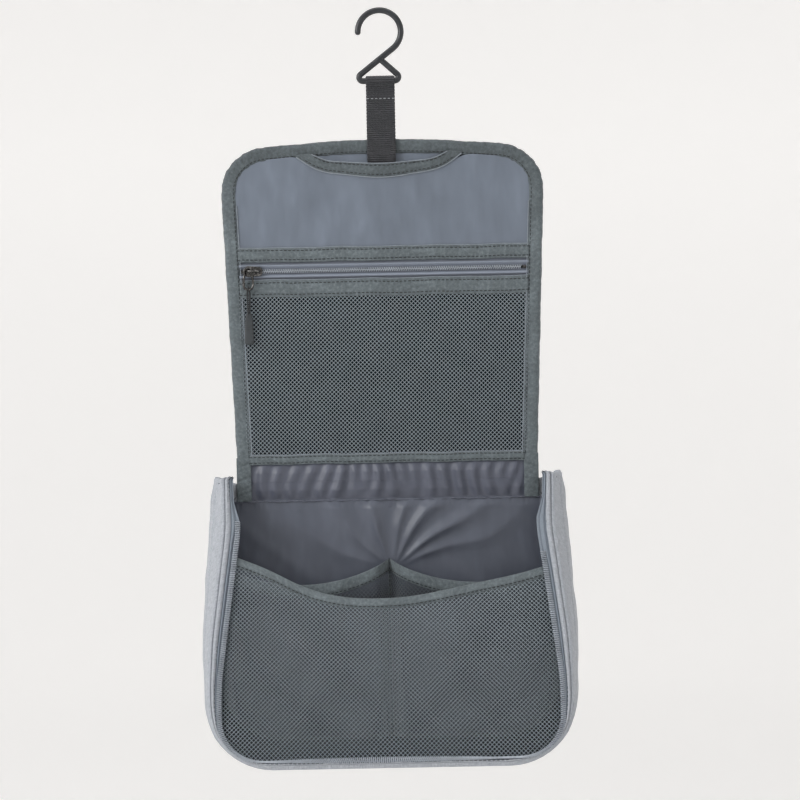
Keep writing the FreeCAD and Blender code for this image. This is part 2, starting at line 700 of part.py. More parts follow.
def make_main_slider(side, name):
    """A main slider clips round the coil behind the lid's edge; its puller hangs from the crown."""
    down = given["main_slider_at"]
    slope = (given["lid_half_top"] - given["lid_half_low"]) / (given["lid_low"] - given["lid_top"])
    lean = side * math.degrees(math.atan(slope.number))
    out, within = given["clip_outer"] * -side, given["clip_inner"] * side
    web, wall = given["clip_web"] * side, given["clip_wall"]
    near = given["clip_gap"]
    far = near + given["clip_depth"]
    body = new_body(f"main_slider_{name}")
    clip = [
        (out, near, 0), (within, near, 0), (within, far, 0.8), (out, far, 0.8),
        (out, far - wall, 0), (within - web, far - wall, 0),
        (within - web, near + wall, 0), (out, near + wall, 0),
    ]
    pad(body, "clip", clip, 0, given["clip_length"], "XY_Plane", True)
    half, post, top = given["main_crown_half"], given["main_crown_post"], given["main_crown_top"]
    rise, inside = far + given["main_crown_rise"], half - post
    crown = [
        (far, -half, 0), (rise, -half, 1.0), (rise, half, 1.0), (far, half, 0),
        (far, inside, 0), (rise - top, inside, 0.6), (rise - top, -inside, 0.6), (far, -inside, 0),
    ]
    off = given["main_crown_off"]
    pad(body, "crown", crown, off * -side, given["crown_width"], "YZ_Plane", True)

    puller = new_body(f"main_puller_{name}")
    over, length = given["main_puller_over"], given["main_puller_length"]
    wide, end = given["main_puller_top"], given["main_puller_half"]
    plate = [(-wide, over, 1.5), (wide, over, 1.5), (end, -length, 2.6), (-end, -length, 2.6)]
    pad(puller, "plate", plate, 0.5, given["main_puller"])
    window = given["window_half"]
    opening = rectangle(-window, window, -given["window_low"], -given["window_top"])
    pocket(puller, "window", opening)
    centre = lid_half(down, given["main_slider_inset"])
    raised, drop = given["main_pivot_rise"], given["main_pivot_drop"]
    for piece, inward, behind, below in ((body, 0, 0, 0), (puller, off, raised, drop)):
        turn = FreeCAD.Rotation(V(0, 1, 0), lean)
        piece.Placement = FreeCAD.Placement(V(0, 0, 0), turn)
        bind(piece, "Placement.Base.x", (centre - inward) * side)
        bind(piece, "Placement.Base.y", lid_rear() + behind)
        bind(piece, "Placement.Base.z", -down - below)


# ---------------------------------------------------------------- the fold

def make_strip():
    """The gathered strip that the lid folds on, clear of the lid and of the pouch."""
    top, low = -given["lid_low"] - given["hinge_gap"], -given["strip_low"]
    front = given["lining_front"] - given["lining"]
    shell_back = lid_rear() - given["shell"]
    shell_front = shell_back - given["shell"]
    width, edge = given["lid_half_low"], given["strip_binding"]
    inside = width - edge
    slab("strip_lining", rectangle(-inside, inside, low, top), shell_front, given["gathers"])
    slab("strip_shell", rectangle(-width, width, low, top), shell_back, given["shell"])
    sides = []
    for name, left in (("left_binding", -width), ("right_binding", inside)):
        sides.append(box(name, (left, front, low), (left + edge, shell_front, top)))
    group("strip_bindings", sides)


# ---------------------------------------------------------------- the pouch

def side_outline(inset, top):
    """The pouch from the front, drawn in by an inset, cut straight at a distance down."""
    corner = given["pouch_corner"] - inset
    low = -given["pouch_low"] + inset
    bulge = -given["rim_top"] - given["bulge_down"]
    return [
        (-given["side_top"] + inset, -top, 0),
        (-given["side_mid"] + inset, bulge, 260),
        (-given["side_low"] + inset, low, corner),
        (given["side_low"] - inset, low, corner),
        (given["side_mid"] - inset, bulge, 260),
        (given["side_top"] - inset, -top, 0),
    ]


def front_cut(body):
    """Cuts away what is in front of the slanted plane of the rim."""
    top, low = -given["rim_top"], -given["pouch_low"]
    near, far = -given["rim_front"], -given["toe_front"]
    # the slanted line is carried on past both ends by a share of its length
    share = 0.1
    rise, run = (top - low) * share, (near - far) * share
    outline = [
        (far - run, low - rise, 0),
        (near + run, top + rise, 0),
        (far - run - CLEAR, top + rise, 0),
        (far - run - CLEAR, low - rise, 0),
    ]
    pocket(body, f"{body.Label}_slant", outline, "YZ_Plane")


def gusset(label, outer, inner):
    """One layer of the band that makes the sides and the bottom."""
    back = given["lining_front"] + given["lining"] + given["foam"]
    top = given["rim_top"]
    outline = side_outline(outer, top) + side_outline(inner, top)[::-1]
    body = new_body(label)
    pad(body, f"{label}_band", outline, back, back + given["toe_front"] + given["foam"])
    front_cut(body)


def make_pouch():
    """The flat back in three layers, and the sides and bottom in three layers round it."""
    lining, foam, shell = given["lining"], given["foam"], given["shell"]
    padding = shell + given["gusset_foam"]
    inner = padding + lining
    top = given["strip_low"] + given["hinge_gap"] * 2
    foam_front = given["lining_front"] + lining
    back = foam_front + foam
    slab("back_shell", side_outline(0, top), back + shell, shell)
    slab("back_foam", side_outline(inner, top), back, foam)
    slab("back_lining", side_outline(inner, top), foam_front, lining)
    gusset("gusset_shell", 0, shell)
    gusset("gusset_foam", shell, padding)
    gusset("gusset_lining", padding, inner)


def rim_angle():
    run = (given["toe_front"] - given["rim_front"]).number
    rise = (given["pouch_low"] - given["rim_top"]).number
    return math.degrees(math.atan(run / rise))


def rim_outline(share):
    """A line round the rim, from its outer edge at 0 to the teeth at 1, in the rim's own plane."""
    stretch = 1 / math.cos(math.radians(rim_angle()))
    length = (given["pouch_low"] - given["rim_top"]) * stretch
    mouth_mid = blend(given["mouth_top"], given["mouth_low"], 0.5)
    across = [
        blend(given["side_top"], given["mouth_top"], share),
        blend(given["side_mid"], mouth_mid, share),
        blend(given["side_low"], given["mouth_low"], share),
    ]
    corner = blend(given["pouch_corner"], given["mouth_corner"], share)
    low = -length + given["rim_toe"] * share
    bulge = -given["bulge_down"] * stretch
    return [
        (-across[0], 0, 0), (-across[1], bulge, 260), (-across[2], low, corner),
        (across[2], low, corner), (across[1], bulge, 260), (across[0], 0, 0),
    ]


def lean_on_rim(body):
    """Stands a body that was drawn upright in the rim's slanted plane."""
    turn = FreeCAD.Rotation(V(1, 0, 0), -rim_angle())
    body.Placement = FreeCAD.Placement(V(0, 0, 0), turn)
    bind(body, "Placement.Base.y", -given["rim_front"])
    bind(body, "Placement.Base.z", -given["rim_top"])


def make_rim():
    """The facing, the zip's tape and its coil, side by side round the pouch's mouth."""
    rows = [
        ("rim_facing", 0, 0.42, given["shell"]),
        ("main_zip_tape_pouch", 0.42, 0.76, given["main_tape"]),
        ("main_zip_coil_pouch", 0.76, 1, given["main_coil"]),
    ]
    for label, outer, inner, thickness in rows:
        outline = rim_outline(outer) + rim_outline(inner)[::-1]
        lean_on_rim(slab(label, outline, 0, thickness))


def front_edge(drop):
    """The curved top edge of the front net: high at both ends, lowest left of the middle."""
    right = -given["front_net_drop"] - drop
    return [(across, right + up, radius) for across, up, radius in FRONT_EDGE]


def make_front_net():
    """The net across the front of the pouch, just behind the rim, and its binding."""
    behind, band = given["front_net_behind"], given["front_net_binding"]
    tape, binding = given["tape"], given["thick_binding"]
    inside_rim = 0.93
    below, above = front_edge(band), front_edge(0)
    right, left = below[0], below[-1]
    net = slab("front_mesh", rim_outline(inside_rim), behind + tape, tape)
    over = [(right[0] + CLEAR, right[1], 0), *below, (left[0] - CLEAR, left[1], 0),
            (left[0] - CLEAR, CLEAR, 0), (right[0] + CLEAR, CLEAR, 0)]
    pocket(net, "top", over)
    lean_on_rim(net)
    edge = slab("front_mesh_binding", above + below[::-1], behind + binding, binding)
    # what is left of the binding's ends is cut off along the rim
    pocket(edge, "ends", rim_outline(inside_rim) + rim_outline(-1.5)[::-1])
    lean_on_rim(edge)


def pocket_edge(side, drop):
    """The curved top of one inner pocket, from the middle seam out to the side."""
    peak = -given["pocket_peak"] - drop
    return [(side * across, peak - down, radius) for across, down, radius in POCKET_EDGE]


def pocket_plan(side, thick):
    """One inner pocket's wall from above: forward from the seam, along, and back to the side."""
    front = given["lining_front"]
    out = front - given["pocket_depth"]
    seam, flare, reach = given["pocket_seam"], given["pocket_flare"], given["pocket_reach"]
    turn = reach - given["pocket_turn"]
    # the sloping ends are drawn thicker across, so that the wall is as thick there as along
    return [
        (side * seam, front, 0),
        (side * flare, out, 7),
        (side * turn, out, 9),
        (side * reach, front, 0),
        (side * (reach - thick * 1.3), front, 0),
        (side * (turn - 0.6), out + thick, 8.4),
        (side * (flare + 0.6), out + thick, 6.4),
        (side * (seam + thick * 1.1), front, 0),
    ]


def make_inner_pocket(side, name):
    """A net pocket that stands off the back lining between the middle seam and the side."""
    peak, band = given["pocket_peak"], given["pocket_binding"]
    wall = given["shell"] + given["gusset_foam"] + given["lining"]
    low, high = -given["pouch_low"] + wall, -peak + band
    around = wall + given["hinge_gap"]
    outside = side_outline(around, given["rim_top"]) + side_outline(-CLEAR, given["rim_top"])[::-1]
    end = side * POCKET_EDGE[-1][0]
    above, below = high + CLEAR, low - CLEAR
    net = new_body(f"inner_pocket_{name}")
    pad(net, "wall", pocket_plan(side, given["pocket_net"]), low, high - low, "XY_Plane")
    pocket(net, "above", pocket_edge(side, band) + [(end, above, 0), (0, above, 0)])
    pocket(net, "beside", outside)
    edge = new_body(f"inner_pocket_binding_{name}")
    pad(edge, "wall", pocket_plan(side, given["thick_binding"]), low, high - low, "XY_Plane")
    pocket(edge, "above", pocket_edge(side, 0) + [(end, above, 0), (0, above, 0)])
    pocket(edge, "below", pocket_edge(side, band) + [(end, below, 0), (0, below, 0)])


make_hook()
make_strap()
make_lid()
make_strap_pocket()
make_pocket_zip()
make_lid_zip()
make_pocket_slider()
make_pocket_pull()
make_main_slider(-1, "left")
make_main_slider(1, "right")
make_strip()
make_pouch()
make_rim()
make_front_net()
make_inner_pocket(-1, "left")
make_inner_pocket(1, "right")
doc.recompute()

for thing in doc.Objects:
    if {"Invalid", "Error"} & set(thing.State):
        raise ValueError(f"{thing.Label} failed: {thing.State}")
for piece in pieces:
    if piece.Shape.isNull() or not piece.Shape.isValid():
        raise ValueError(f"{piece.Label} has no valid shape")
    if piece.Shape.Volume <= 0 or not piece.Shape.Solids:
        raise ValueError(f"{piece.Label} isn't solid")

os.makedirs("parts", exist_ok=True)
for piece in pieces:
    piece.Shape.exportStep(os.path.join("parts", f"{piece.Label}.step"))
    solids = len(piece.Shape.Solids)
    print(f"{piece.Label}: {solids} solid(s), {piece.Shape.Volume:.0f} mm3")
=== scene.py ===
import math

import bmesh
import bpy
import numpy as np
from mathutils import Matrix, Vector


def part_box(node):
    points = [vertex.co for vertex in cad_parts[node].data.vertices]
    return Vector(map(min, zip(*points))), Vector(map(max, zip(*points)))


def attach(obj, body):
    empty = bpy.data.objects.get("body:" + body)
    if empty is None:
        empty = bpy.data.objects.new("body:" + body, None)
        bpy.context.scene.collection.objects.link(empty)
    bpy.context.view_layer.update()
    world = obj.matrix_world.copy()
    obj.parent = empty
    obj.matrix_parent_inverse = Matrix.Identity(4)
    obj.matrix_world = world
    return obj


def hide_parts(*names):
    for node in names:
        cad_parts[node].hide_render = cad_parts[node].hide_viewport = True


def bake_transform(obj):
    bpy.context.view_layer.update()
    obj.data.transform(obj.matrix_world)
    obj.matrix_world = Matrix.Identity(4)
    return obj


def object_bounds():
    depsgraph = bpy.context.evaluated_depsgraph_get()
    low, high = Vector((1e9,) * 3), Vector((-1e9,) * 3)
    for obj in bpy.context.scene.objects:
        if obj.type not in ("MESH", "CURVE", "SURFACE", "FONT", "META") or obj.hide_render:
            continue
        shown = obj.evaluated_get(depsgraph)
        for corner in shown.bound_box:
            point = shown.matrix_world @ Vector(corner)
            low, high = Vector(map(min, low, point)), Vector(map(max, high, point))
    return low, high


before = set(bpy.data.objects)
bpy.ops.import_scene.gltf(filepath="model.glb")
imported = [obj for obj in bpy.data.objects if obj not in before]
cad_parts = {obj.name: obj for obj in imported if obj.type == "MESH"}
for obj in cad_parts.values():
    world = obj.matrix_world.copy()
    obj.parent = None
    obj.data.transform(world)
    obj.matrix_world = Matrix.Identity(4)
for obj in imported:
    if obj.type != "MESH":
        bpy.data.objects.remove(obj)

# A hanging toiletry bag. Shapes are worked out in millimetres in the CAD's frame and turned into
# metres when a mesh is made. +X right, +Y to the wall, +Z up, origin where the hook hangs.
# A path is rows of (x, z), or of (x, v) in the rim's slanted plane; a grid is rows of points.

MM = 0.001
cad_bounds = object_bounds()


def edge_of(node, corner, axis):
    """One side of a CAD node's box in millimetres: corner 0 is low and 1 is high."""
    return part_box(node)[corner]["xyz".index(axis)] / MM


def middle_of(node, axis):
    return (edge_of(node, 0, axis) + edge_of(node, 1, axis)) / 2


# ------------------------------------------------------ places, from the CAD and the photo
LINING_Y = edge_of("lid_lining", 0, "y")        # front of the satin lining
SHELL_Y = edge_of("lid_shell", 1, "y")          # rear of the shell fabric
FOAM_Y = edge_of("lid_foam", 0, "y")
LID_LOW = edge_of("lid_shell", 0, "z")
STRIP_LOW = edge_of("strip_shell", 0, "z")
POUCH_LOW = edge_of("back_shell", 0, "z")
BACK_TOP = edge_of("back_lining", 1, "z")
PANEL_LOW = edge_of("pocket_upper_band", 1, "z")
ZIP_TOP = edge_of("pocket_zip_tapes", 1, "z")
ZIP_LOW = edge_of("pocket_zip_tapes", 0, "z")
ZIP_MIDDLE = (ZIP_TOP + ZIP_LOW) / 2
NET_TOP = edge_of("lid_mesh", 1, "z")
NET_LOW = edge_of("lid_mesh", 0, "z")
LID_LOW_HALF = edge_of("strip_shell", 1, "x")
LID_TOP_HALF = 114.0
LID_TOP = -94.0
LID_CORNER = 32.0
LID_ARCH = 8.47                                 # how far the lid's top edge rises in the middle
BINDING = 10.0                                  # width of the lid's binding
RIM_TOP = edge_of("gusset_shell", 1, "z")
RIM_FRONT, TOE_FRONT = -14.0, -96.0             # y of the rim's plane at its top and at its foot
SIDE = (120.5, 126.5, 121.5)                    # half widths of the pouch: top, bulge, low
BULGE_Z = RIM_TOP - 104.0
MOUTH = (105.0, 108.25, 111.5)                  # the same between the teeth
POUCH_CORNER, MOUTH_CORNER = 48.0, 27.0
RIM_TOE = 6.0                                   # width of the rim along the bottom
RIM_SLOPE = math.atan((RIM_FRONT - TOE_FRONT) / (RIM_TOP - POUCH_LOW))
RIM_UP = (0, -math.cos(RIM_SLOPE), math.sin(RIM_SLOPE))
TUCK, TUCK_RISE = 4.0, 3.8                      # how the sides turn in at their top
FLARE = 2.0                                     # the sides' front seam is in from their widest
RECESS, RECESS_LOW = 8.0, 1.4                   # how far that seam falls back: sides, bottom
FRONT_EDGE = [(-120, -46.5), (-105, -53), (-84, -61.5), (-57, -76.5), (-38, -82.5), (-14, -85.3),
              (12, -84.2), (37, -79.8), (55, -75.8), (72, -72.3), (94, -67.5), (120, -59)]
FRONT_BAND = 7.0
POCKET_DEPTH = 15.0
POCKET_BAND = 9.0
POCKET_PEAK = -383.0
NET_PITCH = 2.9
NET_THICK = 0.3
BAR_Z = -47.2                                   # the hook's bar, which the strap goes round
STRAP_HALF = edge_of("hanging_strap", 1, "x")
STRAP_END = edge_of("hanging_strap", 0, "z")
RIB_PITCH, RIB_HIGH = 1.5, 0.14                 # the webbing's ribs


# ------------------------------------------------------------------ materials
def linear(*srgb):
    """A colour on the 0 to 255 scale as the shader wants it."""
    scaled = [value / 255 for value in srgb]
    return [v / 12.92 if v <= 0.04045 else ((v + 0.055) / 1.055) ** 2.4 for v in scaled] + [1.0]


class Shader:
    """A node material built up a node at a time."""

    def __init__(self, name, **sockets):
        self.material = bpy.data.materials.new(name)
        self.material.use_nodes = True
        self.tree = self.material.node_tree
        self.surface = self.tree.nodes["Principled BSDF"]
        for socket, value in sockets.items():
            self.surface.inputs[socket.replace("_", " ")].default_value = value

    def add(self, kind, settings=(), **inputs):
        """A node with its settings and its inputs, named or numbered as i0 and i1."""
        node = self.tree.nodes.new("ShaderNode" + kind)
        for key, value in dict(settings).items():
            setattr(node, key, value)
        for key, value in inputs.items():
            socket = node.inputs[int(key[1]) if key in ("i0", "i1") else key.replace("_", " ")]
            if isinstance(value, bpy.types.NodeSocket):
                self.tree.links.new(value, socket)
            else:
                socket.default_value = value
        return node

    def cloth_place(self, across=1.0, along=1.0):
        """Distances over the cloth in millimetres, across and along, scaled."""
        place = self.add("Attribute", {"attribute_name": "cloth"}).outputs["Vector"]
        return self.add("Mapping", Vector=place, Scale=(across, along, 1.0)).outputs[0]

    def object_place(self):
        place = self.add("TexCoord").outputs["Object"]
        return self.add("Mapping", Vector=place, Scale=[1 / MM] * 3).outputs[0]

    def axis(self, place, number):
        return self.add("SeparateXYZ", Vector=place).outputs[number]

    def noise(self, place, scale, detail=3.0, rough=0.55):
        node = self.add("TexNoise", Vector=place, Scale=scale, Detail=detail, Roughness=rough)
        return node.outputs["Fac"]

    def wave(self, place, scale, axis="X"):
        settings = {"wave_type": "BANDS", "bands_direction": axis}
        return self.add("TexWave", settings, Vector=place, Scale=scale).outputs["Fac"]

    def math(self, operation, first, second):
        return self.add("Math", {"operation": operation}, i0=first, i1=second).outputs[0]

    def mixed(self, first, second, share):
        """The first by a share and the second by what is left."""
        return self.math("ADD", self.math("MULTIPLY", first, share),
                         self.math("MULTIPLY", second, 1 - share))

    def span(self, value, low, high, start=0.0, end=1.0):
        """A value between two limits, carried to two others."""
        node = self.add("MapRange", Value=value)
        limits = {"From Min": start, "From Max": end, "To Min": low, "To Max": high}
        for key, number in limits.items():
            node.inputs[key].default_value = number
        return node.outputs[0]

    def colours(self, factor, *stops):
        ramp = self.add("ValToRGB", Fac=factor)
        for element, stop in zip(ramp.color_ramp.elements, (stops[0], stops[-1])):
            element.position, element.color = stop
        for position, colour in stops[1:-1]:
            ramp.color_ramp.elements.new(position).color = colour
        self.tree.links.new(ramp.outputs[0], self.surface.inputs["Base Color"])

    def darken(self, value):
        """Scales the colour's brightness by a value that varies over the surface."""
        socket = self.surface.inputs["Base Color"]
        node = self.add("HueSaturation", Color=socket.links[0].from_socket, Value=value)
        self.tree.links.new(node.outputs[0], socket)

    def rough(self, value):
        self.tree.links.new(value, self.surface.inputs["Roughness"])

    def bump(self, height, depth, strength=1.0):
        """Raises the surface by a depth in millimetres."""
        node = self.add("Bump", Height=height, Strength=strength, Distance=depth * MM)
        chained = self.surface.inputs["Normal"].links
        if chained:
            self.tree.links.new(chained[0].from_socket, node.inputs["Normal"])
        self.tree.links.new(node.outputs[0], self.surface.inputs["Normal"])


def shade(colour, factor):
    return [channel * factor for channel in colour[:3]] + [1.0]


WAVE_MM = 0.314                                 # a wave texture's scale for a period of 1 mm


def woven(name, colour, thread=0.55, depth=0.08, vary=0.16, roughness=0.75, shade_above=None):
    """Crossing threads, blotches and a slight nap; painted shade darkens it above a height."""
    shader = Shader(name, Roughness=roughness, Sheen_Weight=0.25, Sheen_Roughness=0.4)
    place = shader.cloth_place()
    weave = shader.math("MULTIPLY", shader.wave(place, WAVE_MM / thread, "X"),
                        shader.wave(place, WAVE_MM / thread, "Y"))
    blotch = shader.noise(place, 0.05)
    fleck = shader.noise(place, 0.42, 5.0, 0.7)
    shader.colours(shader.mixed(blotch, fleck, 0.3), (0.36, shade(colour, 1 - vary)),
                   (0.5, colour), (0.64, shade(colour, 1 + 1.4 * vary)))
    if shade_above:
        # painted shade: the colour darkens upwards to the given height, where the binding turns its
        # top corners from the light
        height = shader.axis(shader.object_place(), 2)
        shader.darken(shader.span(height, 1.06, 0.74, shade_above - 60, shade_above))
    shader.rough(shader.span(fleck, roughness - 0.08, roughness + 0.08))
    shader.bump(weave, depth)
    shader.bump(blotch, 0.5, 0.5)
    return shader.material


def satin(name, colour, roughness=0.38, shaded_from=None, sheen=0.35):
    """Smooth lining cloth: a fine twill, soft creases with painted sheen and shade along them, and
    a broad sheen; painted shade past a distance.
    """
    shader = Shader(name, Roughness=roughness, Sheen_Weight=sheen, Sheen_Roughness=0.3,
                    Specular_IOR_Level=0.1 + sheen)
    place = shader.cloth_place()
    twill = shader.wave(place, 0.9, "DIAGONAL")
    crease = shader.noise(shader.cloth_place(1.0, 0.35), 0.055, 2.5)
    fine = shader.noise(place, 0.5, 2.0)
    # painted sheen and shade: the colour goes lighter and darker in soft streaks along the creases
    shader.colours(crease, (0.32, shade(colour, 0.86)), (0.55, colour), (0.72, shade(colour, 1.18)))
    shader.rough(shader.span(fine, roughness - 0.06, roughness + 0.08))
    if shaded_from:
        along = shader.axis(place, 1)
        shader.darken(shader.span(along, 1.0, 0.35, shaded_from, shaded_from + 14))
    shader.bump(twill, 0.025)
    shader.bump(crease, 1.6, 0.7)
    return shader.material


def melange(name, dark, light):
    """Outer polyester: light and dark yarns mixed along the cloth's length."""
    shader = Shader(name, Roughness=0.82, Sheen_Weight=0.3, Sheen_Roughness=0.5)
    streak = shader.noise(shader.cloth_place(2.2, 0.22), 1.0, 5.0, 0.75)
    slub = shader.noise(shader.cloth_place(0.20, 2.6), 1.0, 4.0, 0.65)
    middle = [(a + b) / 2 for a, b in zip(dark, light)]
    shader.colours(shader.mixed(streak, slub, 0.6), (0.36, dark), (0.5, middle), (0.62, light))
    place = shader.cloth_place()
    weave = shader.math("MULTIPLY", shader.wave(place, 0.52, "X"), shader.wave(place, 0.52, "Y"))
    shader.bump(weave, 0.07)
    shader.bump(shader.noise(place, 0.04), 1.0, 0.5)
    return shader.material


def ribbed(name, colour, pitch, direction="Y", depth=0.12, ridge=None):
    """Tape or webbing with ribs; with a ridge, painted shade where it falls away on either side."""
    shader = Shader(name, Roughness=0.7, Sheen_Weight=0.2, Sheen_Roughness=0.4)
    place = shader.cloth_place()
    ribs = shader.wave(place, WAVE_MM / pitch, direction)
    yarn = shader.noise(place, 1.4, 3.0)
    shader.colours(shader.mixed(ribs, yarn, 0.5), (0.25, shade(colour, 0.72)),
                   (0.75, shade(colour, 1.25)))
    if ridge:
        # painted shade: darker on either side of the ridge, where the tape turns from the light
        away = shader.math("SUBTRACT", shader.axis(place, 1), ridge)
        shader.darken(shader.span(shader.math("ABSOLUTE", away, 0.0), 1.05, 0.5, 0.9, 2.1))
    shader.rough(shader.span(yarn, 0.6, 0.8))
    shader.bump(ribs, depth)
    shader.bump(yarn, 0.08, 0.6)
    return shader.material


def moulded(name, colour, roughness, grain=0.05, coat=0.0):
    """Moulded plastic or rubber with a faint grain and rubbed patches."""
    shader = Shader(name, Roughness=roughness, Coat_Weight=coat, Coat_Roughness=0.15)
    place = shader.object_place()
    patch = shader.noise(place, 0.12, 4.0)
    shader.colours(patch, (0.3, shade(colour, 0.85)), (0.7, shade(colour, 1.2)))
    shader.rough(shader.span(patch, roughness - 0.08, roughness + 0.12, 0.3, 0.7))
    shader.bump(shader.noise(place, 3.0, 2.0), grain)
    return shader.material


def plated(name, colour):
    """Dark plated metal with painted highlights and painted dark reflections in patches."""
    shader = Shader(name, Metallic=1.0, Roughness=0.24)
    place = shader.object_place()
    reflection_patches = shader.noise(place, 0.5, 5.0, 0.65)
    # painted highlights and reflections: patches of the colour go much brighter and darker
    shader.colours(reflection_patches, (0.42, shade(colour, 0.5)), (0.56, colour), (0.68, shade(colour, 2.6)))
    shader.rough(shader.span(reflection_patches, 0.16, 0.36))
    shader.bump(shader.noise(place, 2.5, 2.0), 0.03)
    return shader.material


MATERIALS = {
    "binding": woven("binding_tape", linear(97, 106, 110), 0.8, 0.16, 0.34, shade_above=-98.0),
    "lining": satin("lining_satin", linear(88, 92, 105)),
    "back_lining": satin("back_satin", linear(92, 97, 109), 0.36, 58.0),
    "shaded": satin("shaded_satin", linear(24, 28, 33), 0.6, sheen=0.0),
    "panel": satin("panel_satin", linear(114, 123, 136), 0.42),
    "piping": woven("piping_satin", linear(132, 140, 148), 0.5, 0.04, 0.2, 0.5),
    "shell": melange("shell_melange", linear(134, 140, 148), linear(194, 198, 205)),
    "net": woven("net_thread", linear(134, 145, 152), 0.4, 0.05, 0.12, 0.6),
    "zip_tape": ribbed("zip_tape", linear(128, 137, 148), 0.8, "Y", 0.06),
    # the inner pockets' net thread, painted darker as shade inside the pouch
    "shaded_net": woven("inner_net_thread", linear(84, 91, 97), 0.4, 0.05, 0.12, 0.6),
    "pocket_tape": ribbed("pocket_tape", linear(138, 146, 160), 0.8, "Y", 0.06, ridge=2.9),
    "coil": moulded("zip_coil", linear(168, 175, 184), 0.32),
    "webbing": ribbed("strap_webbing", linear(54, 55, 59), 1.5, "X", 0.5),
    "thread": woven("sewing_thread", linear(36, 41, 45), 0.3, 0.03, 0.1, 0.65),
    "pale_thread": woven("pale_thread", linear(158, 162, 166), 0.3, 0.03, 0.1, 0.65),
    "cord": ribbed("braided_cord", linear(44, 46, 48), 0.7, "Y", 0.1),
    "rubber": moulded("pull_rubber", linear(56, 60, 63), 0.55, 0.06),
    "plastic": moulded("hook_plastic", linear(40, 43, 47), 0.34, 0.04, 0.2),
    "metal": plated("gunmetal", linear(104, 103, 102)),
}


# ------------------------------------------------------------------ shape arithmetic
def part(value, least=0.0):
    """A value held between 0, or a little more, and 1."""
    return np.clip(value, least, 1)


def hump(value, at, width):
    """A smooth rise to 1 around a place."""
    return np.exp(-((value - at) / width) ** 2)


def arched(share, edge, power):
    """Up to 1 and down again as a share goes from 0 to 1, kept off 0 by its edges."""
    return np.sin(np.clip(share, edge, 1 - edge) * math.pi) ** power


def ripple(place, period, seed):
    """A smooth irregular wave between about -1 and 1."""
    total = np.zeros_like(place, dtype=float)
    for n, (share, shorter) in enumerate(((0.5, 1.0), (0.3, 0.61), (0.2, 0.37))):
        phase = math.sin(seed * 12.9898 + n * 78.233) * 43758.5453 % (2 * math.pi)
        total += share * np.sin(place * 2 * math.pi / (period * shorter) + phase)
    return total


def unit(vectors):
    """The same directions at length 1."""
    return vectors / np.maximum(np.linalg.norm(vectors, axis=-1, keepdims=True), 1e-9)


def space(x, y, z):
    """Points from three coordinates, each a number or an array that fits the others."""
    return np.stack(np.broadcast_arrays(x, y, z), axis=-1).astype(float)


def at_depth(flat, y):
    """A path or patch of (x, z) given its y: a number, an array or a function of x and z."""
    if callable(y):
        y = y(flat[..., 0], flat[..., 1])
    return space(flat[..., 0], y, flat[..., 1])


def between(first, second, share):
    """A grid from one path to another; the share of the way may differ from row to row."""
    share = np.atleast_2d(share)[..., None]
    return first[:, None] * (1 - share) + second[:, None] * share


def travelled(path):
    """How far each point of a path is along it."""
    return np.concatenate([[0], np.cumsum(np.linalg.norm(np.diff(path, axis=0), axis=1))])


def resample(path, count):
    path = np.asarray(path, float)
    along = travelled(path)
    at = np.linspace(0, along[-1], count)
    return np.stack([np.interp(at, along, path[:, k]) for k in range(path.shape[1])], axis=1)


def round_path(corners):
    """Points along an open path with rounded corners of (x, z, radius)."""
    points = []
    for n, (x, z, radius) in enumerate(corners):
        here = np.array([x, z], float)
        if not radius or n in (0, len(corners) - 1):
            points.append(here)
            continue
        back = unit(np.array(corners[n - 1][:2]) - here)
        on = unit(np.array(corners[n + 1][:2]) - here)
        half = math.acos(np.clip(back @ on, -1, 1)) / 2
        centre = here + unit(back + on) * radius / math.sin(half)
        start = here + back * radius / math.tan(half) - centre
        end = here + on * radius / math.tan(half) - centre
        first = math.atan2(start[1], start[0])
        turn = (math.atan2(end[1], end[0]) - first + math.pi) % (2 * math.pi) - math.pi
        for angle in first + turn * np.linspace(0, 1, 14):
            points.append(centre + radius * np.array([math.cos(angle), math.sin(angle)]))
    return np.array(points)


def mirrored(right):
    """A whole outline from the corners (x, z, radius) of its right half, low ones first."""
    return round_path([(-x, z, radius) for x, z, radius in right[::-1]] + right)


def coons(path, across, up):
    """A grid of (x, z) that fills a path up one side, over an end and down the other side."""
    path = resample(path, 600)
    step = np.abs(np.gradient(path, axis=0))
    flat = np.flatnonzero(step[:, 0] > step[:, 1])
    first, last = flat[0], flat[-1]
    left = resample(path[: first + 1], up)
    right = resample(path[last:][::-1], up)
    far = resample(path[first : last + 1], across)
    near = resample(np.array([left[0], right[0]]), across)
    s = np.linspace(0, 1, across)[:, None, None]
    t = np.linspace(0, 1, up)[None, :, None]
    ruled = (1 - t) * near[:, None] + t * far[:, None] + (1 - s) * left[None] + s * right[None]
    return ruled - ((1 - s) * (1 - t) * left[0] + s * (1 - t) * right[0]
                    + (1 - s) * t * left[-1] + s * t * right[-1])


def inward(path):
    """Unit normals to the right of a path's direction, in (x, z)."""
    step = unit(np.gradient(path, axis=0))
    return np.stack([step[:, 1], -step[:, 0]], axis=1)


def drawn_in(path, inset):
    """A path moved to its right by a number, or spread into a patch by a grid of numbers."""
    if np.ndim(inset):
        return path[:, None] + inward(path)[:, None] * inset[..., None]
    return path + inward(path) * inset


def round_angles(count):
    """Evenly spaced angles round a circle."""
    return np.arange(count) * 2 * math.pi / count


def within(path):
    """A test for points inside a closed path of (x, z)."""
    path = np.asarray(path, float)

    def test(u, v):
        found = np.zeros(len(u), bool)
        for (x0, z0), (x1, z1) in zip(path, np.roll(path, -1, axis=0)):
            if z0 != z1:
                found ^= ((z0 > v) != (z1 > v)) & (u < (x1 - x0) * (v - z0) / (z1 - z0) + x0)
        return found

    return test


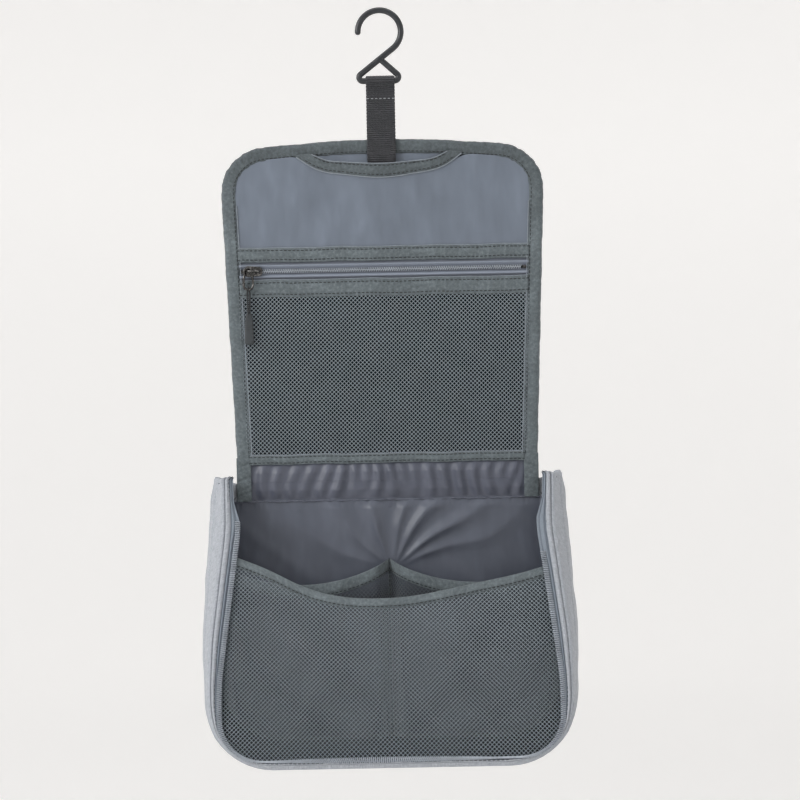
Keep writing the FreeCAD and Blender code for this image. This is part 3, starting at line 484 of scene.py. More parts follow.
# ------------------------------------------------------------------ making meshes
def make(name, points, faces, material, cloth=None):
    """A mesh object from points in millimetres, with its cloth distances as an attribute."""
    points = np.asarray(points, float).reshape(-1, 3)
    mesh = bpy.data.meshes.new(name)
    mesh.from_pydata((points * MM).tolist(), [], faces)
    cloth = points[:, [0, 2, 1]] if cloth is None else np.asarray(cloth, float)
    cloth = cloth.reshape(len(points), -1)
    if cloth.shape[1] == 2:
        cloth = np.hstack([cloth, np.zeros((len(cloth), 1))])
    layer = mesh.attributes.new("cloth", "FLOAT_VECTOR", "POINT")
    layer.data.foreach_set("vector", np.ascontiguousarray(cloth, dtype=np.float32).ravel())
    mesh.materials.append(MATERIALS[material])
    mesh.validate()
    work = bmesh.new()
    work.from_mesh(mesh)
    bmesh.ops.recalc_face_normals(work, faces=work.faces)
    work.to_mesh(mesh)
    work.free()
    mesh.polygons.foreach_set("use_smooth", [True] * len(mesh.polygons))
    thing = bpy.data.objects.new(name, mesh)
    bpy.context.scene.collection.objects.link(thing)
    return thing


def layered(name, front, back, material):
    """A closed piece between two grids of points of the same size."""
    rows, columns = front.shape[:2]
    count = rows * columns
    index = np.arange(count).reshape(rows, columns)
    a, b = index[:-1, :-1].ravel(), index[1:, :-1].ravel()
    c, d = index[1:, 1:].ravel(), index[:-1, 1:].ravel()
    faces = np.vstack([np.stack([a, b, c, d], 1), np.stack([d, c, b, a], 1) + count]).tolist()
    rim = np.concatenate([index[0, :], index[1:, -1], index[-1, -2::-1], index[-2:0:-1, 0]])
    after = np.roll(rim, -1)
    faces += np.stack([rim + count, after + count, after, rim], 1).tolist()
    # how far each point is along the cloth: across from the middle row, and along from the start
    u = np.linalg.norm(np.diff(front, axis=0), axis=2)
    v = np.linalg.norm(np.diff(front, axis=1), axis=2)
    u = np.vstack([np.zeros((1, columns)), np.cumsum(u, axis=0)])
    v = np.hstack([np.zeros((rows, 1)), np.cumsum(v, axis=1)])
    cloth = np.stack([u - u[rows // 2], v], axis=2)
    return make(name, np.stack([front, back]), faces, material, np.stack([cloth, cloth]))


def sheet_of(name, grid, thickness, material, towards=(0, 1, 0)):
    """A cloth of some thickness whose seen face is the grid; it thickens towards a direction."""
    normal = unit(np.cross(np.gradient(grid, axis=0), np.gradient(grid, axis=1)))
    side = np.sign((normal * np.array(towards)).sum(axis=2).mean()) or 1.0
    return layered(name, grid, grid + normal * thickness * side, material)


def tube(rows, around):
    """Faces of an open tube of points, ring after ring."""
    index = np.arange(rows * around).reshape(rows, around)
    turned = np.roll(index, -1, axis=1)
    faces = np.stack([index[:-1], turned[:-1], turned[1:], index[1:]], axis=2)
    return faces.reshape(-1, 4).tolist()


def closed_tube(rows, around):
    """The same with a face across each end."""
    ends = [list(range(around))[::-1], list(range((rows - 1) * around, rows * around))]
    return tube(rows, around) + ends


def rod(name, points, material, cloth=None):
    """A closed tube through a grid of points: rings by places round each."""
    return make(name, points, closed_tube(*points.shape[:2]), material, cloth)


def swept(name, path, profile, material, wobble=None):
    """A closed profile of (inset, y) carried along a path of (x, z)."""
    profile = np.asarray(profile, float)
    along = travelled(path)[:, None]
    inset, depth = profile[None, :, 0], profile[None, :, 1]
    if wobble is not None:
        extra_inset, extra_depth = wobble(along, profile[None])
        inset, depth = inset + extra_inset, depth + extra_depth
    points = at_depth(drawn_in(path, inset), depth)
    cloth = np.stack(np.broadcast_arrays(travelled(profile)[None, :], along), axis=2)
    return rod(name, points, material, cloth)


def cord_mesh(name, line, radius, material, sides=8):
    """A round cord or piping along a line of points in mm."""
    line = np.asarray(line, float)
    along = unit(np.gradient(line, axis=0))
    side = unit(np.cross(along, [0.13, -0.9, 0.4]))         # a direction that no cord here runs in
    top = np.cross(along, side)
    angles = round_angles(sides)[:, None]
    ring = (np.cos(angles) * side[:, None] + np.sin(angles) * top[:, None]) * radius
    cloth = np.stack(np.broadcast_arrays(angles.T * radius, travelled(line)[:, None]), axis=2)
    return rod(name, line[:, None] + ring, material, cloth)


def beads(name, places, axes, sizes, material):
    """Many small rounded bars: each has a place, three axes, and half sizes along them."""
    places, axes, sides = np.asarray(places, float), np.asarray(axes, float), 6
    shape = np.array([(end, math.cos(a) * girth, math.sin(a) * girth)
                      for end, girth in ((-1.0, 0.55), (-0.72, 1.0), (0.72, 1.0), (1.0, 0.55))
                      for a in round_angles(sides)]) * sizes
    per = len(shape)
    faces = closed_tube(per // sides, sides)
    points = places[:, None] + np.einsum("pk,nkc->npc", shape, axes)
    everything = [[v + n * per for v in face] for n in range(len(places)) for face in faces]
    cloth = shape[None, :, [1, 0]] + places[:, None, [0, 2]]
    return make(name, points, everything, material, cloth)


def stitches(name, line, up=(0, -1, 0), material="thread", pitch=2.9, length=2.0, girth=0.36):
    """A row of stitches along a line that lies on the cloth, sunk into it a little."""
    line = np.asarray(line, float)
    at = resample(line, max(3, int(travelled(line)[-1] / pitch)))
    along = unit(np.gradient(at, axis=0))
    side = unit(np.cross(along, np.broadcast_to(np.asarray(up, float), at.shape)))
    rise = np.cross(side, along)
    axes = np.stack([along, side, rise], axis=1)
    return beads(name, at - rise * 0.1, axes, (length / 2, girth, girth), material)


def net(name, across, up, inside, surface, hole=0.79, material="net"):
    """A net of diamond holes: cells over (u, v) that are inside, carried to space by a surface."""
    half = NET_PITCH / 2
    turns = ((1, 0), (0, 1), (-1, 0), (0, -1))
    points, faces, corners, holes = [], [], {}, []

    def corner(i, j):
        if (i, j) not in corners:
            corners[i, j] = len(points)
            points.append((i * half, j * half))
        return corners[i, j]

    rows = range(int(up[0] / half) - 1, int(up[1] / half) + 2)
    columns = range(int(across[0] / NET_PITCH) - 1, int(across[1] / NET_PITCH) + 2)
    centres = [(2 * i + j % 2, j) for j in rows for i in columns]
    places = np.array(centres) * half
    for (i, j), good in zip(centres, inside(places[:, 0], places[:, 1])):
        if not good:
            continue
        ring = [corner(i + di, j + dj) for di, dj in turns]
        inner = [len(points) + n for n in range(4)]
        points += [((i + di * hole) * half, (j + dj * hole) * half) for di, dj in turns]
        faces += [(ring[n - 1], ring[n], inner[n], inner[n - 1]) for n in (1, 2, 3, 0)]
        holes.append(inner)
    flat = np.array(points)
    count = len(flat)
    spot = surface(flat[:, 0], flat[:, 1])
    step = 0.5
    normal = unit(np.cross(surface(flat[:, 0] + step, flat[:, 1]) - spot,
                           surface(flat[:, 0], flat[:, 1] + step) - spot))
    solid = faces + [tuple(v + count for v in face[::-1]) for face in faces]
    walls = [(inner[n - 1], inner[n]) for inner in holes for n in (1, 2, 3, 0)]
    # the net's own outside edge gets walls too
    sides = dict.fromkeys(pair for face in faces for pair in zip(face, face[1:] + face[:1]))
    at_hole = {v for inner in holes for v in inner}
    walls += [(b, a) for a, b in sides if (b, a) not in sides and not {a, b} <= at_hole]
    solid += [(a, b, b + count, a + count) for a, b in walls]
    half_thick = normal * NET_THICK / 2
    both = np.stack([spot - half_thick, spot + half_thick])
    return make(name, both, solid, material, np.stack([flat, flat]))


def put(thing, body, slot, *nodes):
    """Hands a finished piece to its body and hides the CAD nodes it stands for; slot, its finish,
    is not used.
    """
    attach(thing, body)
    if nodes:
        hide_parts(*nodes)
    return thing


def bent(thing, first, second, start, end, slot, *nodes):
    """For cloth between two bodies: bakes its transform into the mesh and hides the CAD nodes it
    stands for; first, second, slot, and start and end, which are heights in mm, are not used.
    """
    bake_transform(thing)
    if nodes:
        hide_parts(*nodes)
    return thing


# ------------------------------------------------------------------ hook and strap
def dress(node, material):
    """A CAD node that stays keeps its shape and takes a finer material."""
    for slot_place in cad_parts[node].material_slots:
        slot_place.material = MATERIALS[material]


def make_strap():
    """Webbing that goes up in front, round the bar and down behind, with raised ribs."""
    half_gap, loop, pull_in = 0.62, 2.95, 9.0
    low, high, eased = STRAP_END, BAR_Z - pull_in, BAR_Z - pull_in * 0.7
    arc = [(loop * math.sin(a), BAR_Z + loop * math.cos(a)) for a in np.linspace(-2.3, 2.3, 40)]
    front = [(-half_gap, low), (-half_gap, high), (-half_gap - 0.4, eased)]
    back = [(half_gap + 0.4, eased), (half_gap, high), (half_gap, low)]
    line = resample(np.array(front + arc + back), 620)
    along = travelled(line)
    across = np.linspace(-1, 1, 29)
    rib = RIB_HIGH * np.cos(along * 2 * math.pi / RIB_PITCH)
    thick = 0.5 + 0.06 * np.cos(across * math.pi * 9) - 0.28 * np.abs(across) ** 24
    half = STRAP_HALF - 0.12 * np.cos(along * 2 * math.pi / 2.3)
    layers = []
    for sign in (1, -1):
        flat = drawn_in(line, -sign * (thick + rib[:, None]))
        layers.append(space(across * half[:, None], flat[..., 0], flat[..., 1]))
    put(layered("strap_webbing", *layers, "webbing"), "strap", "webbing", "hanging_strap")
    seam = edge_of("strap_stitching", 0, "z") + 0.5
    for name, y, nodes in (("strap_stitches", -1.25, ["strap_stitching"]),
                           ("strap_stitches_back", 1.25, [])):
        row = [(-STRAP_HALF + 1.2, y, seam), (STRAP_HALF - 1.2, y, seam)]
        put(stitches(name, row, (0, np.sign(y), 0), "pale_thread", 2.2, 1.7, 0.3),
            "strap", "stitch_thread", *nodes)


def make_strap_end():
    """The strap's last stretch, which dives behind the pocket's panel and is sewn to the lining."""
    z = np.linspace(STRAP_END + 4.0, edge_of("strap_sewn_end", 0, "z"), 70)[:, None]
    x = np.linspace(-STRAP_HALF + 0.1, STRAP_HALF - 0.1, 25)
    rib = RIB_HIGH * np.cos(z * 2 * math.pi / RIB_PITCH)
    lean = 1.1 * part((STRAP_END - z) / 14) ** 1.5
    layers = [space(x, lean + sign * (1.1 + rib), z) for sign in (-1, 1)]
    tail = layered("strap_sewn_tail", *layers, "webbing")
    bent(tail, "strap", "lid", STRAP_END + 3.0, STRAP_END - 3.5, "webbing", "strap_sewn_end")


# ------------------------------------------------------------------ the lid
def lid_half(z, inset=0.0):
    share = (LID_TOP - z) / (LID_TOP - LID_LOW)
    return LID_TOP_HALF + (LID_LOW_HALF - LID_TOP_HALF) * share - inset


def lid_path(inset, low=LID_LOW):
    """Up the lid's left side, over its top and down the right, drawn in by an inset."""
    half, foot, top = lid_half(LID_TOP, inset), lid_half(low, inset), LID_TOP - inset
    corner = max(LID_CORNER - inset, 4)
    return round_path([(-foot, low, 0), (-half, top, corner), (0, top + LID_ARCH, 700),
                       (half, top, corner), (foot, low, 0)])


def crown(x, z, half_x, z_low, z_high, rise):
    """A low pillow shape over a rectangle."""
    up = (z - (z_low + z_high) / 2) / ((z_high - z_low) / 2)
    return rise * part(1 - (x / half_x) ** 4) * part(1 - up ** 4)


def make_lid_board():
    """Foam under the outer shell, crowned a little on the outside of the bag."""
    patch = coons(lid_path(1.0), 70, 70)
    rear = at_depth(patch, lambda x, z: SHELL_Y + crown(x, z, 112, LID_LOW, -88, 1.2)
                    + 0.22 * ripple(x + 0.4 * z, 57, 3))
    board = layered("lid_board", rear, at_depth(patch, FOAM_Y + 0.05), "shell")
    put(board, "lid", "shell_fabric", "lid_shell", "lid_foam")


def make_lid_lining():
    def depth(x, z):
        below = part((NET_TOP - z) / 15)
        folds = ripple(x + 0.25 * z, 23, 5) * 0.35 * below + ripple(x - 0.3 * z, 61, 8) * 0.3
        return LINING_Y + 0.25 + folds * 0.5

    grid = at_depth(coons(lid_path(1.4), 120, 110), depth)
    lining = sheet_of("lid_lining_cloth", grid, 0.3, "shaded")
    put(lining, "lid", "lining_satin", "lid_lining")


def make_lid_binding():
    """Folded tape round the lid's edge, puckered where it turns the corners."""
    path = resample(lid_path(0.0), 620)
    front, rear = LINING_Y - 1.15, SHELL_Y + 1.15
    width = BINDING
    profile = [(width, front + 1.0), (width - 0.4, front + 0.25), (width - 2.2, front + 0.12),
               (width - 4.5, front - 0.25), (3.0, front - 0.35), (1.2, front), (0.2, front + 1.4),
               (-0.25, (front + rear) / 2), (0.2, rear - 1.4), (1.2, rear), (3.0, rear + 0.1),
               (width - 4.5, rear + 0.1), (width - 2.0, rear - 0.1), (width, rear - 0.7),
               (width - 0.6, rear - 1.0), (1.6, rear - 1.1), (1.4, front + 1.1),
               (width - 0.6, front + 1.2)]
    corner_at = LID_TOP - LID_LOW - 4
    corners = (corner_at, travelled(path)[-1] - corner_at)

    def wobble(along, shape):
        inset, y = shape[..., 0], shape[..., 1]
        pucker = sum(hump(along, place, 30) for place in corners)
        face = np.where(y < 4, -1.0, 1.0) * (inset > 0.6) * (inset < width - 0.3)
        outer = part((width - inset) / width)
        waves = ripple(along + inset * 0.8, 7.5, 2) * (0.14 + pucker * 0.75) * outer
        slow = ripple(along, 38, 6) * 0.3
        return slow * 0.8 + (0.1 + pucker * 0.3) * ripple(along, 9, 4), face * (waves + slow * 0.6)

    edge = swept("lid_edge_binding", path, profile, "binding", wobble)
    put(edge, "lid", "binding_tape", "lid_binding")
    sewn = drawn_in(path, width - 1.5)
    for name, y, up in (("front", front + 0.14, -1), ("rear", rear + 0.02, 1)):
        row = stitches(f"lid_edge_stitches_{name}", at_depth(sewn, y), (0, up, 0))
        put(row, "lid", "binding_tape")
    # the lining rolls up in a narrow bead along the inside of the binding's straight sides
    bead = resample(lid_path(width + 0.7), 420)
    for name, side in (("left", -1), ("right", 1)):
        run = bead[(bead[:, 0] * side > 0) & (bead[:, 1] < -132)]
        put(cord_mesh(f"lid_edge_bead_{name}", at_depth(run, LINING_Y - 1.05), 0.36, "piping"),
            "lid", "lining_satin")


CRESCENT_TOP = [(-51, -96.8, 0), (-38, -102.8, 28), (0, -105.8, 150), (36, -102.4, 28),
                (48, -96.2, 0)]
CRESCENT_LOW = [(-61, -98.2, 0), (-44, -109.4, 40), (0, -115.2, 90), (42, -108.6, 40),
                (57, -97.4, 0)]


def panel_depth(x, z):
    """The pocket's panel: flush with the binding at its edges, proud where it covers the strap."""
    near_mouth = hump(x, 0, 42) * part((z - PANEL_LOW) / (-106 - PANEL_LOW)) ** 1.3
    dip = part(1 - (np.abs(x) / 104) ** 6) * part((z - PANEL_LOW) / 9) ** 0.7
    folds = ripple(x * 0.8 + z * 0.35, 47, 9) * 0.42 + ripple(x * 0.4 - z, 33, 12) * 0.2
    return LINING_Y - 0.55 - 0.5 * dip - 3.35 * near_mouth - folds * dip


def on_panel(flat, lift):
    """A path or patch of (x, z) on the pocket's panel, standing off its front."""
    return at_depth(flat, panel_depth(flat[..., 0], flat[..., 1]) - lift)


def make_strap_pocket():
    """The panel, its mouth's crescent of binding, and the pale lining seen above the mouth."""
    inset = BINDING - 1.2
    half, top = lid_half(LID_TOP, inset), LID_TOP - inset
    left = [(-lid_half(PANEL_LOW, inset), PANEL_LOW - 1, 0), (-half, top, 22), (-60, top + 4.0, 30),
            (-40, -106.5, 30)]
    corners = left + [(0, -110.0, 150)] + [(-x, z, radius) for x, z, radius in left[::-1]]
    grid = at_depth(coons(round_path(corners), 150, 60), panel_depth)
    panel = sheet_of("strap_pocket_satin", grid, 0.45, "panel")
    put(panel, "lid", "lining_satin", "strap_pocket_panel")

    upper = resample(round_path(CRESCENT_TOP), 180)
    lower = resample(round_path(CRESCENT_LOW), 180)
    share = np.linspace(0, 1, 15)
    flat = between(upper, lower, share)
    along = np.linspace(0, 1, len(upper))
    fade = part(np.minimum(along, 1 - along) / 0.06)[:, None] ** 0.5
    lift = (0.35 + 0.75 * arched(share, 0.02, 0.35)) * (0.35 + 0.65 * fade)
    lift += 0.12 * ripple(flat[..., 0], 15, 3) * fade
    crescent = layered("crescent_tape", on_panel(flat, lift), on_panel(flat, -0.5), "binding")
    put(crescent, "lid", "binding_tape", "crescent_binding")
    for name, place in (("top", 0.14), ("low", 0.84)):
        line = (upper * (1 - place) + lower * place)[12:-12]
        put(stitches(f"crescent_stitches_{name}", on_panel(line, 1.02)), "lid", "binding_tape")
    # a fine piping follows each edge of the crescent
    for name, edge, lift, shift, cut, radius in (
            ("crescent_piping", lower, 0.35, -0.5, 2, 0.5),
            ("crescent_top_piping", upper, 0.75, 0.1, 4, 0.38)):
        line = (on_panel(edge, lift) + [0, 0, shift])[cut:-cut]
        put(cord_mesh(name, line, radius, "piping"), "lid", "lining_satin")
    # the lining shows pale above the crescent, where nothing shades it
    x = np.linspace(-47, 44, 60)[:, None]
    z = np.linspace(-94.5, -108, 8)
    grid = space(x, LINING_Y - 0.25 - 0.25 * ripple(x + z, 17, 4), z)
    put(sheet_of("mouth_facing", grid, 0.25, "panel"), "lid", "lining_satin")


def make_band(name, top, low, node, seed, rows=(0.17, 0.83)):
    """A band of binding across the lid, rolled at its long edges and sewn along both."""
    inset = BINDING - 0.8
    s = np.linspace(-1, 1, 200)
    t = np.linspace(0, 1, 15)
    z = top + (low - top) * t + 0.35 * ripple(s * 100, 60, seed)[:, None]
    x = s[:, None] * lid_half(z, inset)
    dents = sum(hump(t, row, 0.06) for row in rows)
    face = (LINING_Y - 0.95 - 0.75 * arched(t, 0.03, 0.4) + 0.3 * dents
            + 0.13 * ripple(x + 2.0 * t, 13, seed + 1))
    band = layered(name, space(x, face, z), space(x, LINING_Y - 0.15, z), "binding")
    put(band, "lid", "binding_tape", node)
    at = z[:, 0] + 0.15
    edge = space(s * (lid_half(at, inset) - 0.4), LINING_Y - 1.15, at)
    put(cord_mesh(f"{name}_piping", edge, 0.34, "piping"), "lid", "binding_tape")
    for row in rows:
        at = z[:, 0] * (1 - row) + z[:, -1] * row
        line = space(s * (lid_half(at, inset) - 0.5), LINING_Y - 1.42, at)
        put(stitches(f"{name}_stitches_{int(row * 100)}", line), "lid", "binding_tape")


def make_pocket_zip():
    """Two tapes with the closed coil between them, and a fold of tape beside each band."""
    inset, turn = BINDING - 0.6, 0.62
    s = np.linspace(-1, 1, 120)[:, None]
    t = np.linspace(0, 1, 17)
    fold = 1.4 * hump(t, 0.5, 0.15) - 0.5 * hump(t, 0.2, 0.1) - 0.4 * t
    for name, near, far, nodes in (("upper", ZIP_MIDDLE + 0.9, ZIP_TOP + 0.6, ["pocket_zip_tapes"]),
                                   ("lower", ZIP_MIDDLE - 0.9, ZIP_LOW - 0.6, [])):
        z = near + (far - near) * t
        x = s * lid_half(z, inset)
        grid = space(x, LINING_Y - 0.55 - fold - 0.08 * ripple(x, 30, 4), z)
        tape = sheet_of(f"pocket_zip_tape_{name}", grid, 0.35, "pocket_tape")
        put(tape, "lid", "zip_tape", *nodes)
    left, right = (edge_of("pocket_zip_coil", corner, "x") for corner in (0, 1))
    places, axes = [], []
    for n in range(int((right - left) / turn)):
        side = 1 if n % 2 else -1
        places.append((left + turn * n, LINING_Y - 1.25, ZIP_MIDDLE + side * 0.55))
        sine, cosine = math.sin(0.35 * side), math.cos(0.35 * side)
        axes.append(((sine, 0, cosine), (cosine, 0, -sine), (0, -1, 0)))
    teeth = beads("pocket_zip_teeth", places, axes, (0.95, 0.30, 0.55), "coil")
    put(teeth, "lid", "zip_coil", "pocket_zip_coil")


def make_lid_net():
    inset = BINDING - 1.5
    top, low = NET_TOP + 1.5, NET_LOW - 1.5
    edge = [(-lid_half(low, inset), low), (-lid_half(top, inset), top),
            (lid_half(top, inset), top), (lid_half(low, inset), low)]

    def surface(x, z):
        up = part((z - NET_LOW) / (NET_TOP - NET_LOW))
        belly = np.sin(up * math.pi) * part(1 - (x / 104) ** 4)
        return space(x, LINING_Y - 1.0 - 1.1 * belly - 0.25 * ripple(x + z * 0.5, 55, 7) * belly, z)

    piece = net("lid_net", (-108, 108), (low, top), within(edge), surface)
    put(piece, "lid", "net", "lid_mesh")


def open_teeth(name, line, outward, up, pitch, reach):
    """One half of an open zip: coil turns side by side along a line, reaching outwards."""
    count = int(travelled(line)[-1] / pitch)
    out = unit(resample(outward, count))
    side = unit(np.cross(out, np.broadcast_to(np.asarray(up, float), out.shape)))
    axes = np.stack([out, side, np.cross(out, side)], axis=1)
    return beads(name, resample(line, count), axes, (reach, 0.42, 0.85), "coil")


def make_lid_zip():
    """The lid's half of the main zip, on the rear face, with its coil at the edge."""
    rear = SHELL_Y + 1.2
    path = resample(lid_path(0.0, LID_LOW + 2), 420)
    profile = [(12.8, 0.15), (9.0, 0.5), (7.0, 1.2), (6.3, 2.3), (4.0, 2.6), (2.4, 2.6), (2.4, 2.0),
               (5.6, 1.9), (6.4, 0.9), (8.6, 0.1), (12.8, -0.2)]
    profile = [(inset, rear + off) for inset, off in profile]
    tape = swept("main_zip_lid_tape", path, profile, "zip_tape")
    put(tape, "lid", "zip_tape", "main_zip_tape_lid")
    teeth = open_teeth("main_zip_lid_teeth", at_depth(drawn_in(path, 2.45), rear + 2.5),
                       at_depth(-inward(path), 0.0), (0, 1, 0), 1.25, 1.2)
    put(teeth, "lid", "zip_coil", "main_zip_coil_lid")
    sewn = at_depth(drawn_in(path, 10.5), rear + 0.5)
    put(stitches("main_zip_lid_stitches", sewn, (0, 1, 0)), "lid", "zip_tape")


# ------------------------------------------------------------------ pulls
def soft(value, power):
    """A sine or cosine drawn towards 1 or -1, which makes a round section squarer."""
    return np.sign(value) * np.abs(value) ** power


def pill(name, place, half, taper):
    """A rounded block: half sizes along X, Y and Z, narrowing towards +X by a share."""
    tilt = np.linspace(-math.pi / 2, math.pi / 2, 22)[:, None]
    turn = round_angles(26)
    x = soft(np.sin(tilt), 0.5) * half[0]
    slim = 1 - taper * (x / half[0] + 1) / 2
    girth = soft(np.cos(tilt), 0.5)
    points = space(x, girth * soft(np.sin(turn), 0.5) * half[1],
                   girth * soft(np.cos(turn), 0.5) * half[2] * slim)
    return make(name, points + np.array(place), tube(*points.shape[:2]), "metal")


def make_slider():
    """The pocket's slider: two plates, a bridge over them, and a bent wire puller."""
    x = middle_of("pocket_slider", "x")
    put(pill("slider_top_plate", (x, 0.35, ZIP_MIDDLE), (6.2, 0.8, 4.2), 0.28),
        "pocket_slide", "gunmetal", "pocket_slider")
    put(pill("slider_low_plate", (x, 1.15, ZIP_MIDDLE), (4.6, 0.45, 2.4), 0.2),
        "pocket_slide", "gunmetal")
    angle = np.linspace(0, math.pi, 24)
    arch = space(x + 4.1 * soft(np.cos(angle), 0.7), -0.2 - 3.3 * np.sin(angle) ** 0.6, ZIP_MIDDLE)
    put(cord_mesh("slider_bridge", arch, 0.95, "metal", 12), "pocket_slide", "gunmetal")
    half = [(0.01, 2.4), (2.2, 1.8), (2.9, 0.0), (2.6, -2.6), (3.3, -6.5), (3.3, -9.8),
            (2.3, -12.3), (0.01, -12.8)]
    loop = resample(np.array([(-a, b) for a, b in half[::-1]] + half), 90)
    loop = np.stack([np.convolve(np.pad(loop[:, k], 2, mode="wrap"), np.ones(5) / 5, "valid")
                     for k in range(2)], axis=1)
    loop = np.vstack([loop, loop[:3]]) + [middle_of("pocket_puller", "x"), ZIP_MIDDLE]
    put(cord_mesh("puller_wire", at_depth(loop, -1.6), 0.88, "metal", 12),
        "pocket_pull", "gunmetal", "pocket_puller")


def make_pull():
    """A cord loop through the puller's slot and a moulded tab with a waist and grooves."""
    x, y = middle_of("pull_tab", "x"), middle_of("pull_tab", "y")
    top, foot = edge_of("pull_tab", 1, "z") - 8.0, edge_of("pull_tab", 0, "z") - 3.0
    bar = edge_of("pull_cord", 1, "z") - 2.2
    line = [(x - 0.5, y - 0.7, top - 2), (x - 0.6, y - 0.75, top + 2), (x - 0.8, y - 1.6, bar - 3),
            (x - 0.3, y - 1.7, bar)]
    arc = [(x, y - 0.3 - 1.4 * math.cos(a), bar + 1.6 * math.sin(a))
           for a in np.linspace(0.2, math.pi - 0.2, 9)]
    behind = [(2 * x - px, min(2 * y - py, y + 1.0), pz) for px, py, pz in line[::-1]]
    loop = resample(np.array(line + arc + behind), 70)
    put(cord_mesh("pull_loop", loop, 0.6, "cord", 10), "pocket_tab", "pull_cord", "pull_cord")
    t = np.linspace(0, 1, 64)[:, None]
    half = 2.5 + 0.9 * t - 0.25 * hump(t, 0.12, 0.08)
    ends = 0.3 + 0.7 * part(np.minimum(t, 1 - t) / 0.06) ** 0.5
    grooves = (0.2, 0.26, 0.32, 0.38, 0.44, 0.5)
    thick = 1.25 - 0.28 * sum(hump(t, place, 0.012) for place in grooves)
    angles = round_angles(28)
    points = space(x + soft(np.cos(angles), 0.6) * half * ends,
                   y + soft(np.sin(angles), 0.6) * thick * ends, top + (foot - top) * t)
    put(rod("pull_tab_moulded", points, "rubber"), "pocket_tab", "pull_rubber", "pull_tab")


# ------------------------------------------------------------------ the fold
def gathers(x, z):
    """Vertical folds of the strip, which change from one seam to the other."""
    lean = x + 2.2 * np.sin(z * 0.12 + x * 0.045)
    down = part((LID_LOW - z) / (LID_LOW - STRIP_LOW))

    def wave(n):
        bend = 1.4 * np.sin(lean / (17 + 5 * n) + 1 + n)
        return 0.7 * np.sin(lean * 2 * math.pi / (9.5 + n) + bend) + 0.4 * ripple(lean, 37.0, 1 + n)

    return wave(0) * (1 - down) + wave(2) * down


def make_strip():
    """The gathered lining, its side bindings and its shell, each in an upper and a lower half."""
    middle = (LID_LOW + STRIP_LOW) / 2
    width = LID_LOW_HALF - 8
    for name, top, low, *bend in (
            ("upper", LID_LOW + 5.0, middle - 0.4,
             "lid", "top_strip", LID_LOW + 3.5, LID_LOW - 4.0),
            ("lower", middle + 0.4, STRIP_LOW - 7.0,
             "top_strip", "pouch", STRIP_LOW + 3.5, STRIP_LOW - 4.5)):
        first = name == "upper"                 # the upper half stands for the CAD's whole strip
        x = np.linspace(-width, width, 330)[:, None]
        z = np.linspace(top, low, 34)
        pinch = part(np.minimum(LID_LOW + 1 - z, z - STRIP_LOW + 1) / 7, 0.15) ** 0.7
        ends = part((width - np.abs(x)) / 7, 0.1)
        grid = space(x, LINING_Y + 0.6 - 1.9 * (1.25 + gathers(x, z)) * pinch * ends, z)
        cloth = sheet_of(f"strip_gathers_{name}", grid, 0.35, "lining")
        bent(cloth, *bend, "lining_satin", *["strip_lining"] * first)

        x = np.linspace(-LID_LOW_HALF, LID_LOW_HALF, 120)[:, None]
        tuck_in = 0.9 * part((BACK_TOP + 2 - z) / 3)
        grid = space(x, SHELL_Y - 0.1 + 0.25 * ripple(x + z, 31, 6) - tuck_in, z)
        back = sheet_of(f"strip_shell_{name}", grid, 1.0, "shell", (0, -1, 0))
        bent(back, *bend, "shell_fabric", *["strip_shell"] * first)

        x = np.linspace(LID_LOW_HALF - 9.5, LID_LOW_HALF + 0.6, 13)[:, None]
        z = np.linspace(top, max(low, BACK_TOP - 0.6), len(z))
        roll = arched((x - x[0]) / (x[-1] - x[0]), 0.03, 0.5)
        for side_name, side in (("left", -1), ("right", 1)):
            crumple = 0.35 * ripple(z + 0.4 * x, 9, side + 5)
            front = space(side * x, LINING_Y - 0.9 - 0.8 * roll + crumple, z)
            rear = space(side * x, SHELL_Y - 0.5, z)
            tape = layered(f"strip_binding_{side_name}_{name}", front, rear, "binding")
            bent(tape, *bend, "binding_tape", *["strip_bindings"] * (first and side == -1))


# ------------------------------------------------------------------ the pouch
def side_path(inset, top, tuck=0.0):
    """Down the pouch's left side, along the bottom and up the right, drawn in by an inset."""
    a, b, c = (value - inset for value in SIDE)
    side = [(a, top + 0.6, 1), (a - tuck, top - 0.9, 0)] if tuck else [(a, top, 0)]
    return mirrored([(c, POUCH_LOW + inset, POUCH_CORNER - inset), (b, BULGE_Z, 260)] + side)


def rim_path(share, count=520):
    """A line round the rim in its own slanted plane, from the outer edge at 0 to the teeth at 1."""
    stretch = 1 / math.cos(RIM_SLOPE)
    low = -(RIM_TOP - POUCH_LOW) * stretch
    bulge = (BULGE_Z - RIM_TOP) * stretch
    high = -34
    outer = [(SIDE[2] - 1.0, low + 1.0, POUCH_CORNER), (SIDE[1] - FLARE, bulge, 200),
             (SIDE[0] - FLARE, high, 200)]
    teeth = [(MOUTH[2], low + RIM_TOE, MOUTH_CORNER), (112.2, bulge - 28, 120), (101.0, high, 90)]
    right = [tuple(p + (q - p) * share for p, q in zip(*pair)) for pair in zip(outer, teeth)]
    tuck = TUCK * (1 - share) + 0.8
    a = SIDE[0] - FLARE + (MOUTH[0] - 0.2 - SIDE[0] + FLARE) * share
    right += [(a, TUCK_RISE + 1.4, 0.25 * tuck), (a - tuck, TUCK_RISE + 0.6, 0)]
    return resample(mirrored(right), count)


def on_rim(x, v, lift=0.0):
    """From the rim's plane to space: v runs down the slope, lift stands off its front."""
    return space(x, RIM_FRONT + v * math.sin(RIM_SLOPE) - lift * math.cos(RIM_SLOPE),
                 RIM_TOP + v * math.cos(RIM_SLOPE) + lift * math.sin(RIM_SLOPE))


def rim_y(z):
    """Where the rim's plane is at a height."""
    return RIM_FRONT + (z - RIM_TOP) * math.tan(RIM_SLOPE)


def up_side(z):
    """0 along the pouch's bottom and 1 up its sides."""
    return part((z - POUCH_LOW - 20) / 30)


